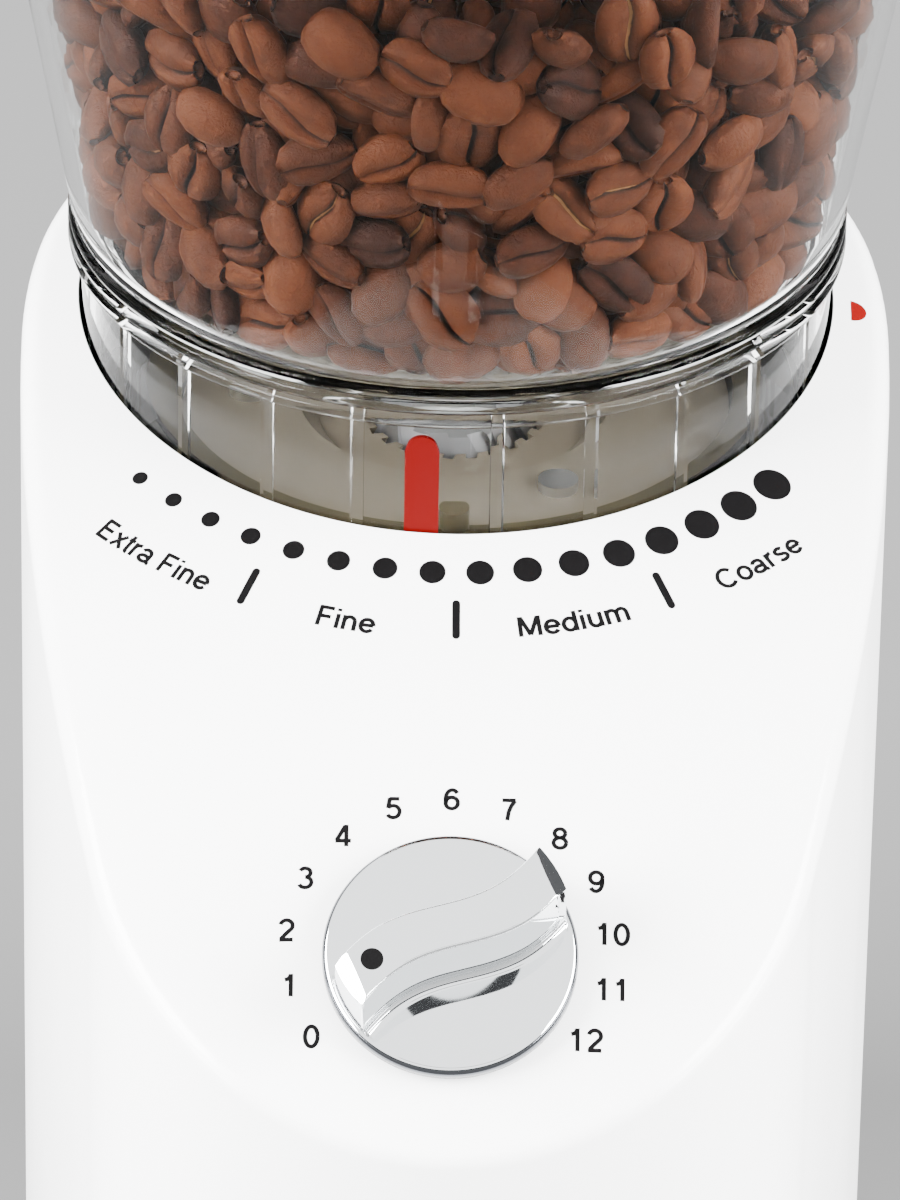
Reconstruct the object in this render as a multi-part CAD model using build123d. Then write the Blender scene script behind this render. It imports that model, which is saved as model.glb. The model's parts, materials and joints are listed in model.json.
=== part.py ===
from build123d import *
import math
import os

# A table-top burr coffee grinder in millimetres: X to the right, Y to the back, Z up from the table.
# The origin is on the table, under the middle of the whole object.

# ---------------------------------------------------------------- driving dimensions
# Housing
body_width = 127.0            # widest part of the housing
body_depth = 205.0            # housing front to housing back
deck_crest_height = 190.0     # table to the highest line of the sloping top
rear_reach = 0.5551 * body_width   # widest line to the back of the housing
front_taper = 10.7            # how much smaller than the half width the nose radius is
rear_taper = 0.7              # the same at the back
crest_from_back = 35.2        # back of the housing to the crest line
deck_fall_radius = 252.6      # the top's curve from back to front
deck_cross_radius = 299.0     # the top's curve from side to side
edge_radius = 3.6             # soft edge between the top and the sides
wall = 2.6                    # moulded wall of the housing
foot_height = 4.0
base_thickness = 3.0
boss_radius = 4.6
pilot_radius = 1.5

# Hopper
hopper_from_back = 65.5       # back of the housing to the hopper and burr axis
skirt_radius = 54.9
skirt_wall = 2.0
skirt_clearance = 0.4         # between the skirt and the hole in the top
skirt_top = 2.2               # above the crest, where the beads begin
bead_radius = 1.1
bead_count = 3
bowl_floor = 9.0              # above the crest
bowl_base_radius = 56.3
bowl_rim_radius = 69.5
bowl_rim = 84.0               # above the crest
bowl_wall = 2.2
throat_radius = 16.0
throat_wall = 2.0
rib_width = 1.0
rib_depth = 0.6
pointer_width = 4.9
lid_thickness = 2.4
lid_overhang = 1.1
lid_plug_depth = 6.0
lid_grip_height = 9.0
collar_wall = 2.0             # tube that hangs under the hole in the top
collar_bottom = 160.0

# Burrs and drive
burr_base_radius = 20.2
burr_top_radius = 11.0
burr_height = 24.0
burr_gap = 0.5                # sideways gap between the cone and the ring at rest
ring_burr_radius = 26.2
flute_count = 12
chamber_radius = 38.0         # inside of the grinding chamber
chamber_wall = 2.5
chamber_floor = 130.0
chamber_rim = 160.0
shaft_radius = 5.0
running_clearance = 0.05
bush_wall = 2.5
motor_offset = 25.0           # motor axis behind the burr axis
motor_radius = 31.0
motor_bottom = 20.0
motor_top = 99.0
drive_module = 1.0
drive_teeth = 42
idler_pinion_teeth = 12
fast_module = 0.8
idler_teeth = 50
motor_pinion_teeth = 14
backlash = 0.3
gearbox_floor = 101.0
gearbox_wall = 2.4
gearbox_height = 24.0
gear_side_gap = 3.2           # gear tips to the inside of the gearbox wall

# Timer
knob_from_front = 22.6
knob_radius = 17.9
knob_base = 3.3               # height of the knob's disc over the top
knob_height = 14.7
knob_gap = 0.9                # slit under the knob
grip_width = 7.0
grip_swing = 1.9              # sideways swing of the S-shaped grip
zero_angle = -123.8           # the zero mark, clockwise from the top of the dial
timer_size = 34.0
timer_depth = 22.0
timer_shaft_radius = 3.0
timer_screw_spread = 12.5

# Grounds container
bay_width = 88.0
bay_depth = 103.0
bay_top = 100.0
bay_wall = 2.0
container_clearance = 0.6
container_wall = 2.2
bay_corner = 6.0              # upright corners at the back of the container
container_height = 80.0
container_lid_thickness = 2.4
grip_recess = 7.0
grip_recess_width = 44.0
grip_recess_height = 16.0
spout_clearance = 0.6

# Inlet of the mains lead
inlet_height = 40.0
inlet_radius = 6.5
inlet_bore = 3.6
inlet_flange = 1.6
inlet_seat = 0.8            # depth of the flat seat in the curved back wall

# ---------------------------------------------------------------- places that follow from them
half_width = body_width / 2
lid_radius = bowl_rim_radius + lid_overhang
rear_overhang = max(0.0, lid_radius - hopper_from_back)
front_y = -(body_depth + rear_overhang) / 2
rear_y = front_y + body_depth
widest_y = rear_y - rear_reach
crest_y = rear_y - crest_from_back
axle_y = rear_y - hopper_from_back
motor_y = axle_y + motor_offset
fall_axis_z = deck_crest_height - deck_fall_radius
base_top = foot_height + base_thickness
front_radius = half_width - front_taper
rear_radius = half_width - rear_taper
hole_radius = skirt_radius + skirt_clearance
collar_radius = hole_radius + collar_wall
chamber_outer = chamber_radius + chamber_wall
bay_back = front_y + bay_depth
knob_y = front_y + knob_from_front


def flank_radius(reach, end_radius):
    """Radius of the side arc that is tangent to the end arc and upright at the widest line."""
    spread = half_width ** 2 + (reach - end_radius) ** 2 - end_radius ** 2
    return spread / (2 * (half_width - end_radius))


front_flank = flank_radius(body_depth - rear_reach, front_radius)
rear_flank = flank_radius(rear_reach, rear_radius)


# ---------------------------------------------------------------- plain solids
def disc(radius, low, high, x=0.0, y=0.0):
    """Upright cylinder between two heights."""
    return Pos(x, y, (low + high) / 2) * Cylinder(radius, high - low)


def tube(outer, inner, low, high, x=0.0, y=0.0):
    """Upright tube between two heights."""
    return disc(outer, low, high, x, y) - disc(inner, low - 1, high + 1, x, y)


def cone(low_radius, high_radius, low, high, x=0.0, y=0.0):
    """Upright cone frustum between two heights."""
    return Pos(x, y, (low + high) / 2) * Cone(low_radius, high_radius, high - low)


def block(x_span, y_span, z_span):
    """Box between two X, two Y and two Z places."""
    size = [span[1] - span[0] for span in (x_span, y_span, z_span)]
    middle = [(span[1] + span[0]) / 2 for span in (x_span, y_span, z_span)]
    return Pos(*middle) * Box(*size)


def around(radius, degrees, y=axle_y):
    """Point on a circle about the burr axis; degrees run from the front towards +X."""
    turn = math.radians(degrees)
    return radius * math.sin(turn), y - radius * math.cos(turn)


# ---------------------------------------------------------------- housing outline and top
def point_on(centre, radius, towards):
    """Point of a circle in the direction of another point."""
    span = math.hypot(towards[0] - centre[0], towards[1] - centre[1])
    return (centre[0] + radius * (towards[0] - centre[0]) / span,
            centre[1] + radius * (towards[1] - centre[1]) / span)


def join_point(flank_centre, end_centre, end_radius):
    """Point where a side arc runs into an end arc: on the line through both centres."""
    ahead = (2 * end_centre[0] - flank_centre[0], 2 * end_centre[1] - flank_centre[1])
    return point_on(end_centre, end_radius, ahead)


def side_chain(inset):
    """Right-hand points of the outline, from the front join to the rear join, with arc middles."""
    front_centre = (0.0, front_y + front_radius)
    rear_centre = (0.0, rear_y - rear_radius)
    front_side = (half_width - front_flank, widest_y)
    rear_side = (half_width - rear_flank, widest_y)
    widest = (half_width - inset, widest_y)
    front_join = join_point(front_side, front_centre, front_radius - inset)
    rear_join = join_point(rear_side, rear_centre, rear_radius - inset)
    front_half = ((front_join[0] + widest[0]) / 2, (front_join[1] + widest[1]) / 2)
    rear_half = ((rear_join[0] + widest[0]) / 2, (rear_join[1] + widest[1]) / 2)
    front_middle = point_on(front_side, front_flank - inset, front_half)
    rear_middle = point_on(rear_side, rear_flank - inset, rear_half)
    return front_join, front_middle, widest, rear_middle, rear_join


def plan_face(inset=0.0):
    """The housing's plan outline as a face: six tangent arcs, moved in by inset."""
    right = side_chain(inset)
    left = [(-x, y) for x, y in right]
    arcs = [
        ThreePointArc(left[0], (0.0, front_y + inset), right[0]),
        ThreePointArc(right[0], right[1], right[2]),
        ThreePointArc(right[2], right[3], right[4]),
        ThreePointArc(right[4], (0.0, rear_y - inset), left[4]),
        ThreePointArc(left[4], left[3], left[2]),
        ThreePointArc(left[2], left[1], left[0]),
    ]
    return make_face(Curve() + arcs)


def plan_prism(inset, low, high):
    """The outline as an upright solid between two heights."""
    return Pos(0, 0, low) * extrude(plan_face(inset), high - low)


def deck_barrel(drop=0.0):
    """Barrel whose upper side is the sloping top, lowered by drop along its own normal."""
    reach = half_width + 20
    radius = deck_cross_radius - drop
    crest = deck_crest_height - drop
    side = crest - radius + math.sqrt(radius ** 2 - reach ** 2)
    arc = ThreePointArc((-reach, side), (0, crest), (reach, side))
    rest = Polyline((reach, side), (reach, fall_axis_z), (-reach, fall_axis_z), (-reach, side))
    section = Plane((0, crest_y, 0), x_dir=(1, 0, 0), z_dir=(0, -1, 0)) * make_face(Curve() + [arc, rest])
    return revolve(section, Axis((0, crest_y, fall_axis_z), (1, 0, 0)), 360)


def deck_plane(y):
    """Plane that touches the top on its centre line: local Z is the outward normal, local Y points up."""
    tilt = math.asin((y - crest_y) / deck_fall_radius)
    normal = (0, math.sin(tilt), math.cos(tilt))
    foot = (0, y, fall_axis_z + deck_fall_radius * math.cos(tilt))
    return Plane(foot, x_dir=(1, 0, 0), z_dir=normal)


knob_plane = deck_plane(knob_y)


def half_width_at(y, inset):
    """Half width of the outline at a place along Y, moved in by inset."""
    if y < widest_y:
        flank, end_y, end_radius = front_flank, front_y + front_radius, front_radius
        beyond = y < side_chain(0)[0][1]
    else:
        flank, end_y, end_radius = rear_flank, rear_y - rear_radius, rear_radius
        beyond = y > side_chain(0)[4][1]
    if beyond:
        return math.sqrt((end_radius - inset) ** 2 - (y - end_y) ** 2)
    return half_width - flank + math.sqrt((flank - inset) ** 2 - (y - widest_y) ** 2)


boss_inset = wall + boss_radius - 1.2
foot_inset = 16.0
boss_places = [
    (side * half_width_at(y, boss_inset), y)
    for y in (front_y + 75.0, rear_y - 20.0)
    for side in (-1, 1)
]
foot_places = [
    (side * half_width_at(y, foot_inset), y)
    for y in (front_y + 38.0, rear_y - 26.0)
    for side in (-1, 1)
]
foot_radius = 7.0
foot_stem = 3.0

# ---------------------------------------------------------------- container and its bay
bay_floor_top = base_top + bay_wall
container_bottom = bay_floor_top + 0.4
container_top = container_bottom + container_height
lid_top = container_top + container_lid_thickness
chamber_spout = 8.0            # the chamber's outlet block stands this far out of its wall
outlet_half = 11.0
outlet_height = 14.0
chute_wall = 2.0
chute_run = 24.0
spout_width = 20.0
chute_back = axle_y - chamber_radius - chamber_spout
chute_low = bay_top - 3.0
inner_floor = chamber_floor + 3.0
spout_back = chute_back - chute_run + spout_width


def bay_zone(gap, low, high):
    """Upright block with the bay's plan: square at the back, and rounded like the nose in front."""
    half = bay_width / 2 - gap
    cut = block((-half, half), (front_y - 5, bay_back - gap), (low, high))
    return cut & plan_prism(gap, low - 1, high + 1)


def round_back(solid, radius):
    """Round the two upright edges at the back."""
    return fillet(solid.edges().filter_by(Axis.Z).sort_by(Axis.Y)[-2:], radius)


def spout_cut(gap, low, high):
    """Space round the lower end of the chute."""
    half = outlet_half + chute_wall + gap
    return block((-half, half), (chute_back - chute_run - gap, spout_back + gap), (low, high))


def make_container_bay():
    """Box behind the front opening that guides the container, with the spout's hole in its roof."""
    outer = block((-bay_width / 2 - bay_wall, bay_width / 2 + bay_wall),
                  (front_y, bay_back + bay_wall), (base_top, bay_top + bay_wall))
    outer = outer & plan_prism(wall + 0.2, base_top - 1, bay_top + 10)
    inner = block((-bay_width / 2, bay_width / 2), (front_y - 5, bay_back), (bay_floor_top, bay_top))
    return outer - inner - spout_cut(spout_clearance, bay_top - 1, bay_top + bay_wall + 1)


def grip_zone(grow):
    """Finger recess in the container's front, under the lid's lip."""
    half = grip_recess_width / 2 + grow
    return block((-half, half), (front_y - 5, front_y + grip_recess + grow),
                 (container_top - grip_recess_height - grow, container_top + 1))


def make_container():
    outer = bay_zone(container_clearance, container_bottom, container_top) - grip_zone(0)
    outer = round_back(outer, bay_corner)
    inset = container_clearance + container_wall
    inner = bay_zone(inset, container_bottom + container_wall, container_top + 1)
    inner = round_back(inner, bay_corner - container_wall)
    return outer - (inner - grip_zone(container_wall))


def make_container_lid():
    """Lid with a rim that drops inside the container and a hole under the spout."""
    plate = bay_zone(container_clearance, container_top, lid_top)
    plate = round_back(plate, bay_corner)
    inset = container_clearance + container_wall + 0.3
    rim_wall = 1.6
    rim = round_back(bay_zone(inset, container_top - 4, container_top), bay_corner - inset)
    rim = rim - grip_zone(container_wall + 0.3)
    hollow = round_back(bay_zone(inset + rim_wall, container_top - 5, container_top), bay_corner - inset - rim_wall)
    hollow = hollow - grip_zone(container_wall + rim_wall + 0.6)
    return plate + (rim - hollow) - spout_cut(2.0, container_top - 6, lid_top + 1)


# ---------------------------------------------------------------- housing
def make_housing():
    """One moulded shell: curved wall, sloping top, hopper collar, screw bosses and openings."""
    body = plan_prism(0, foot_height, deck_crest_height + 10) & deck_barrel()
    rim = [edge for edge in body.edges() if edge.bounding_box().min.Z > foot_height + 1
           and edge not in body.edges().filter_by(Axis.Z)]
    body = fillet(rim, edge_radius)
    cavity = plan_prism(wall, foot_height - 1, deck_crest_height + 10) & deck_barrel(wall)
    shell = body - cavity
    collar = tube(collar_radius, hole_radius, collar_bottom, deck_crest_height, y=axle_y)
    shell = shell + (collar & deck_barrel(wall / 2))
    shell = shell - disc(hole_radius, collar_bottom - 1, deck_crest_height + 10, y=axle_y)
    for x, y in boss_places:
        boss = disc(boss_radius, base_top, base_top + 34, x, y) & plan_prism(wall / 2, 0, 200)
        shell = shell + boss - disc(pilot_radius, base_top - 1, base_top + 22, x, y)
    opening = block((-bay_width / 2, bay_width / 2), (front_y - 5, front_y + front_radius),
                    (bay_floor_top, bay_top))
    shell = shell - opening
    shaft_hole = Cylinder(timer_shaft_radius + 1.5, 20)
    screw_hole = Cylinder(pilot_radius + 0.2, 20)
    head_seat = disc(timer_head_radius + 0.25, -1.9, 10)
    shell = shell - knob_plane * shaft_hole
    for x in (-timer_screw_spread, timer_screw_spread):
        shell = shell - knob_plane * Pos(x, 0, 0) * screw_hole
        shell = shell - knob_plane * Pos(x, 0, 0) * head_seat
    seat = disc(inlet_radius + 1.7, -10, 0) + disc(inlet_radius - 1.5, -1, 20)
    return shell - Pos(0, rear_y - inlet_seat, inlet_height) * Rot(90, 0, 0) * seat


timer_head_radius = 2.8


def make_base_plate():
    """Floor of the housing with the motor's seat, the board's slot and the holes for feet and screws."""
    plate = plan_prism(wall + 0.3, foot_height, base_top)
    seat = tube(motor_radius + 3.4, motor_radius + 0.4, base_top, motor_bottom + 8, y=motor_y)
    plate = plate + seat
    for x, y in boss_places:
        plate = plate - disc(pilot_radius + 0.4, 0, base_top + 1, x, y)
        plate = plate - disc(screw_head_radius + 0.3, 0, foot_height + screw_head_height + 0.2, x, y)
    for x, y in foot_places:
        plate = plate - disc(foot_stem, 0, base_top + 1, x, y)
    slot_wall = block((board_x - 3.2, board_x + 3.2), (board_front - 3, board_back + 3), (base_top, base_top + 8))
    slot = block((board_x - board_thickness / 2, board_x + board_thickness / 2), (board_front, board_back),
                 (base_top + 2, base_top + 9))
    return plate + (slot_wall - disc(motor_radius + 3.4, 0, 60, y=motor_y)) - slot


screw_head_radius = 2.9
screw_head_height = 1.6


def make_base_screws():
    screws = []
    for x, y in boss_places:
        head = disc(screw_head_radius, foot_height, foot_height + screw_head_height, x, y)
        shank = disc(pilot_radius - 0.02, foot_height + screw_head_height, base_top + 14, x, y)
        slot = block((x - 0.4, x + 0.4), (y - 2.2, y + 2.2), (foot_height - 1, foot_height + 0.7))
        cross = block((x - 2.2, x + 2.2), (y - 0.4, y + 0.4), (foot_height - 1, foot_height + 0.7))
        screws.append(head + shank - slot - cross)
    return Compound(screws)


def make_feet():
    feet = []
    for x, y in foot_places:
        pad = disc(foot_radius, 0, foot_height, x, y)
        pad = fillet(pad.edges().sort_by(Axis.Z)[0], 1.0)
        stem = disc(foot_stem, foot_height, base_top, x, y)
        feet.append(pad + stem)
    return Compound(feet)


def make_inlet():
    """Flanged bush in the back wall for the mains lead; it has no lead in it."""
    flange = disc(inlet_radius + 1.5, -inlet_flange, 0)
    flange = fillet(flange.edges().sort_by(Axis.Z)[0], 0.5)
    inside = wall - inlet_seat + 0.6
    neck = disc(inlet_radius - 1.55, 0, inside + 2.4)
    nut = disc(inlet_radius, inside, inside + 2.4)
    bush = flange + neck + nut - disc(inlet_bore, -10, 20)
    return Pos(0, rear_y - inlet_seat, inlet_height) * Rot(90, 0, 0) * bush


# ---------------------------------------------------------------- control board
board_x = -(motor_radius + 13.0)
board_thickness = 1.6
board_front = motor_y - 20.0
board_back = motor_y + 10.0
board_bottom = base_top + 2.0
board_height = 46.0


def make_board():
    return block((board_x - board_thickness / 2, board_x + board_thickness / 2), (board_front, board_back),
                 (board_bottom, board_bottom + board_height))


def make_board_parts():
    """Capacitor, rectifier and terminal block, each touching the board's inner face."""
    face = board_x + board_thickness / 2
    middle = board_bottom + board_height * 0.62
    capacitor = Pos(face + 3.4, board_front + 8, middle) * Cylinder(3.4, 16)
    capacitor = capacitor + block((face, face + 3.4), (board_front + 6, board_front + 10), (middle - 8, middle + 8))
    rectifier = block((face, face + 3.6), (board_back - 13, board_back - 4), (middle - 7, middle + 7))
    terminal = block((face, face + 5.0), (board_front + 3, board_back - 3), (middle - 20, middle - 11))
    return Compound([capacitor, rectifier, terminal])


# ---------------------------------------------------------------- gears
def gear_face(teeth, module, turn):
    """Involute gear outline with short teeth; turn is the direction of one tooth's middle, in degrees."""
    pitch = teeth * module / 2
    base = pitch * math.cos(math.radians(20))
    tip = pitch + 0.8 * module
    root = pitch - 1.1 * module
    half_tooth = math.pi / (2 * teeth) - backlash / (4 * pitch)
    involute = lambda radius: math.sqrt(max(0.0, (radius / base) ** 2 - 1)) - math.acos(min(1.0, base / radius))
    start = max(base, root + 0.05)
    radii = [start + (tip - start) * step / 4 for step in range(5)]
    flank = [(root, half_tooth + involute(pitch))]
    flank += [(radius, half_tooth + involute(pitch) - involute(radius)) for radius in radii]
    points = []
    for tooth in range(teeth):
        middle = math.radians(turn) + 2 * math.pi * tooth / teeth
        rising = [(radius, middle - angle) for radius, angle in flank]
        falling = [(radius, middle + angle) for radius, angle in reversed(flank)]
        points += [(radius * math.cos(angle), radius * math.sin(angle)) for radius, angle in rising + falling]
    return make_face(Polyline(*points, close=True))


def gear(teeth, module, turn, low, high, x, y, bore):
    """Straight-toothed gear between two heights with a round bore."""
    wheel = Pos(x, y, low) * extrude(gear_face(teeth, module, turn), high - low)
    return wheel - disc(bore, low - 1, high + 1, x, y)


slow_centre = drive_module * (drive_teeth + idler_pinion_teeth) / 2
fast_centre = fast_module * (idler_teeth + motor_pinion_teeth) / 2
idler_along = (slow_centre ** 2 - fast_centre ** 2 + motor_offset ** 2) / (2 * motor_offset)
idler_x = math.sqrt(slow_centre ** 2 - idler_along ** 2)
idler_y = axle_y + idler_along
to_idler = math.degrees(math.atan2(idler_along, idler_x))
to_motor = math.degrees(math.atan2(motor_y - idler_y, -idler_x))
fast_low = gearbox_floor + gearbox_wall + 1.6
fast_high = fast_low + 6.0
slow_low = fast_high + 1.6
slow_high = slow_low + 8.0
gearbox_top = gearbox_floor + gearbox_height
idler_pin_radius = 2.5
motor_shaft_radius = 2.5


def gearbox_outline(grow):
    """Outline round the three gear axes, grown by a distance."""
    big = drive_module * drive_teeth / 2 + drive_module + gear_side_gap + grow
    fast = fast_module * idler_teeth / 2 + fast_module + gear_side_gap + grow
    seat = motor_radius - 4.0 + grow
    rounds = [(0, axle_y, big), (idler_x, idler_y, fast), (0, motor_y, seat)]
    edges = []
    for x, y, radius in rounds:
        edges += (Pos(x, y) * Circle(radius)).edges()
    return make_hull(edges)


gearbox_ears = [
    (-(motor_radius + 1.0), motor_y - 2.0),
    (idler_x + 17.0, idler_y + 21.0),
    around(29.5, 0),
    around(29.5, -70),
]
ear_radius = 4.4


def ear_bosses(low, high):
    """Screw ears round the gearbox."""
    solid = disc(ear_radius, low, high, *gearbox_ears[0])
    for x, y in gearbox_ears[1:]:
        solid = solid + disc(ear_radius, low, high, x, y)
    return solid


def make_gearbox_case():
    """Lower half: floor, wall, screw ears, the burr shaft's lower seat and the idler pin's seat."""
    outer = Pos(0, 0, gearbox_floor) * extrude(gearbox_outline(gearbox_wall), gearbox_height - gearbox_wall)
    outer = outer + ear_bosses(gearbox_floor, gearbox_top - gearbox_wall)
    cavity = Pos(0, 0, gearbox_floor + gearbox_wall) * extrude(gearbox_outline(0), gearbox_height)
    ears = ear_bosses(gearbox_floor, gearbox_top - gearbox_wall)
    case = outer - cavity + (ears - disc(slow_gear_tip + 0.8, 0, 200, y=axle_y))
    case = case + disc(idler_pin_radius + 2.2, gearbox_floor, fast_low - 0.3, idler_x, idler_y)
    case = case - disc(idler_pin_radius, gearbox_floor - 1, fast_low + 1, idler_x, idler_y)
    case = case - disc(motor_shaft_radius + 4.5, gearbox_floor - 1, gearbox_floor + 5, y=motor_y)
    case = case - disc(lower_bush_radius, gearbox_floor - 1, fast_high + 1, y=axle_y)
    for x, y in gearbox_ears:
        case = case - disc(pilot_radius, gearbox_floor + 4, gearbox_top, x, y)
    for x, y in motor_screw_places:
        case = case - disc(pilot_radius, gearbox_floor - 1, gearbox_floor + 5, x, y)
    return case


lower_bush_radius = 5.8
slow_gear_tip = drive_module * (drive_teeth / 2 + 0.8)


def make_gearbox_cover():
    """Flat lid of the gearbox with the upper bush seat."""
    cover = Pos(0, 0, gearbox_top - gearbox_wall) * extrude(gearbox_outline(gearbox_wall), gearbox_wall)
    cover = cover + ear_bosses(gearbox_top - gearbox_wall, gearbox_top)
    cover = cover + disc(shaft_radius + bush_wall + 3, gearbox_top, chamber_floor, y=axle_y)
    cover = cover - disc(shaft_radius + bush_wall, gearbox_top - 9, chamber_floor + 1, y=axle_y)
    cover = cover - disc(idler_pin_radius, gearbox_top - 9, gearbox_top + 1, idler_x, idler_y)
    for x, y in gearbox_ears:
        cover = cover - disc(pilot_radius + 0.3, gearbox_top - 9, gearbox_top + 1, x, y)
    for x, y in chamber_posts:
        cover = cover + disc(post_radius, gearbox_top, chamber_floor, x, y)
        cover = cover - disc(pilot_radius, gearbox_top - 0.8, chamber_floor + 1, x, y)
    return cover


def make_gearbox_screws():
    screws = []
    for x, y in gearbox_ears:
        head = disc(screw_head_radius, gearbox_top, gearbox_top + 2.0, x, y)
        shank = disc(pilot_radius - 0.02, gearbox_floor + 8, gearbox_top, x, y)
        slot = block((x - 2, x + 2), (y - 0.4, y + 0.4), (gearbox_top + 1.2, gearbox_top + 3))
        screws.append(head + shank - slot)
    return Compound(screws)


def make_idler():
    """Two gears moulded in one: the large one is driven by the motor, the small one drives the burr."""
    bore = idler_pin_radius + running_clearance
    large = gear(idler_teeth, fast_module, to_motor, fast_low, fast_high, idler_x, idler_y, bore)
    small_turn = to_idler + 180 + 180 / idler_pinion_teeth
    small = gear(idler_pinion_teeth, drive_module, small_turn, fast_high, slow_high, idler_x, idler_y, bore)
    return large + small


def make_drive_gear():
    hub = tube(9.0, shaft_radius, slow_low, slow_high + 2.0, y=axle_y)
    wheel = gear(drive_teeth, drive_module, to_idler, slow_low, slow_high, 0, axle_y, shaft_radius)
    pocket = tube(slow_gear_tip - 4.4, 9.0, slow_high - 2.5, slow_high + 1, y=axle_y)
    return wheel - pocket + hub


def make_bushes():
    """Sintered bushes of the burr shaft: a thin one below and a thick one above."""
    lower = tube(lower_bush_radius, lower_shaft_radius + running_clearance, gearbox_floor, fast_low - 0.4, y=axle_y)
    upper = tube(shaft_radius + bush_wall, shaft_radius + running_clearance, slow_high + 2.6, inner_floor, y=axle_y)
    return lower, upper


lower_shaft_radius = 3.5


def make_burr_shaft():
    """Stepped shaft: thin lower end, main length, and a threaded tip under the nut."""
    lower = disc(lower_shaft_radius, gearbox_floor + 0.5, slow_low, y=axle_y)
    main = disc(shaft_radius, slow_low, burr_low + burr_height - 2, y=axle_y)
    tip = disc(3.0, burr_low + burr_height - 2, burr_low + burr_height + 5, y=axle_y)
    return lower + main + tip


# ---------------------------------------------------------------- grinding chamber and burrs
sweeper_low = inner_floor + 1.2
sweeper_high = sweeper_low + 3.0
burr_low = sweeper_high + 3.5
post_radius = 5.0
chamber_posts = [around(27.0, degrees) for degrees in (30, 150, 270)]
carrier_low = burr_low + 4.0
carrier_flange = chamber_rim + 1.5
carrier_top = carrier_flange + 4.0
ring_burr_top = burr_low + burr_height - 2.0
thread_clearance = 0.5
ring_sleeve = chamber_outer + thread_clearance
sleeve_wall = 3.0
seat_height = 168.0            # the hopper stands on the adjusting ring here
ring_flange_radius = max(chamber_outer + 4.5, skirt_radius - 4.9)
ring_flange = 3.6


def make_chamber():
    """Cup round the burrs with an outlet block in front, three screw seats and the switch's shelf."""
    cup = disc(chamber_outer, chamber_floor, chamber_rim, y=axle_y)
    spout = block((-outlet_half - 3, outlet_half + 3), (chute_back, axle_y - chamber_radius + 4),
                  (chamber_floor, inner_floor + outlet_height + 3))
    shelf = block((chamber_outer - 2, switch_out + 1), (axle_y - 7, axle_y + 7), (shelf_low, shelf_low + 3))
    cup = cup + spout + shelf - disc(chamber_radius, inner_floor, chamber_rim + 1, y=axle_y)
    cup = cup - block((-outlet_half, outlet_half), (chute_back - 1, axle_y - 20),
                      (inner_floor, inner_floor + outlet_height))
    cup = cup - disc(shaft_radius + bush_wall, chamber_floor - 1, inner_floor + 1, y=axle_y)
    for x, y in chamber_posts:
        cup = cup - disc(pilot_radius + 0.3, chamber_floor - 1, inner_floor + 1, x, y)
        cup = cup - disc(screw_head_radius + 0.3, inner_floor - 1.5, inner_floor + 1, x, y)
    return cup


def make_chamber_screws():
    screws = []
    for x, y in chamber_posts:
        head = disc(screw_head_radius, inner_floor - 1.5, inner_floor, x, y)
        screws.append(head + disc(pilot_radius - 0.02, gearbox_top, inner_floor - 1.5, x, y))
    return Compound(screws)


def make_chute():
    """Bent duct from the chamber's outlet down through the roof of the bay."""
    front = chute_back - chute_run
    high = inner_floor + outlet_height + 3
    outline = Polyline((chute_back, high), (front + 10, high), (front, high - 10), (front, chute_low),
                       (spout_back, chute_low), (spout_back, chamber_floor - 4),
                       (chute_back, chamber_floor), close=True)
    side = Plane((0, 0, 0), x_dir=(0, 1, 0), z_dir=(1, 0, 0))
    outer = extrude(side * make_face(outline), outlet_half + chute_wall, both=True)
    inner = extrude(side * offset(make_face(outline), -chute_wall), outlet_half, both=True)
    mouth = block((-outlet_half, outlet_half), (chute_back - 4, chute_back + 1),
                  (inner_floor, inner_floor + outlet_height))
    spout = block((-outlet_half, outlet_half), (front + chute_wall, spout_back - chute_wall),
                  (chute_low - 1, chute_low + 4))
    return outer - inner - mouth - spout


def burr_radius(z):
    """Radius of the cone burr at a height."""
    return burr_base_radius - (burr_base_radius - burr_top_radius) * (z - burr_low) / burr_height


def make_cone_burr():
    """Toothed cone: coarse slanting flutes above, fine ones round the foot."""
    burr = cone(burr_base_radius, burr_top_radius, burr_low, burr_low + burr_height, y=axle_y)
    half_angle = math.degrees(math.atan((burr_base_radius - burr_top_radius) / burr_height))
    for number in range(flute_count):
        cutter = Rot(0, -half_angle, 0) * Rot(18, 0, 0) * Box(2.4, 2.6, burr_height * 2)
        middle = Pos(burr_radius(burr_low + 18), 0, burr_low + 18)
        limit = block((0, 60), (-60, 60), (burr_low + 7, burr_low + 40))
        burr = burr - Pos(0, axle_y, 0) * Rot(0, 0, number * 360 / flute_count) * ((middle * cutter) & limit)
    for number in range(flute_count * 3):
        cutter = Rot(0, -half_angle, 0) * Rot(18, 0, 0) * Box(0.8, 1.2, 12)
        middle = Pos(burr_base_radius, 0, burr_low)
        burr = burr - Pos(0, axle_y, 0) * Rot(0, 0, number * 120 / flute_count) * (middle * cutter)
    return burr - disc(shaft_radius, burr_low - 1, burr_low + burr_height + 1, y=axle_y)


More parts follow.
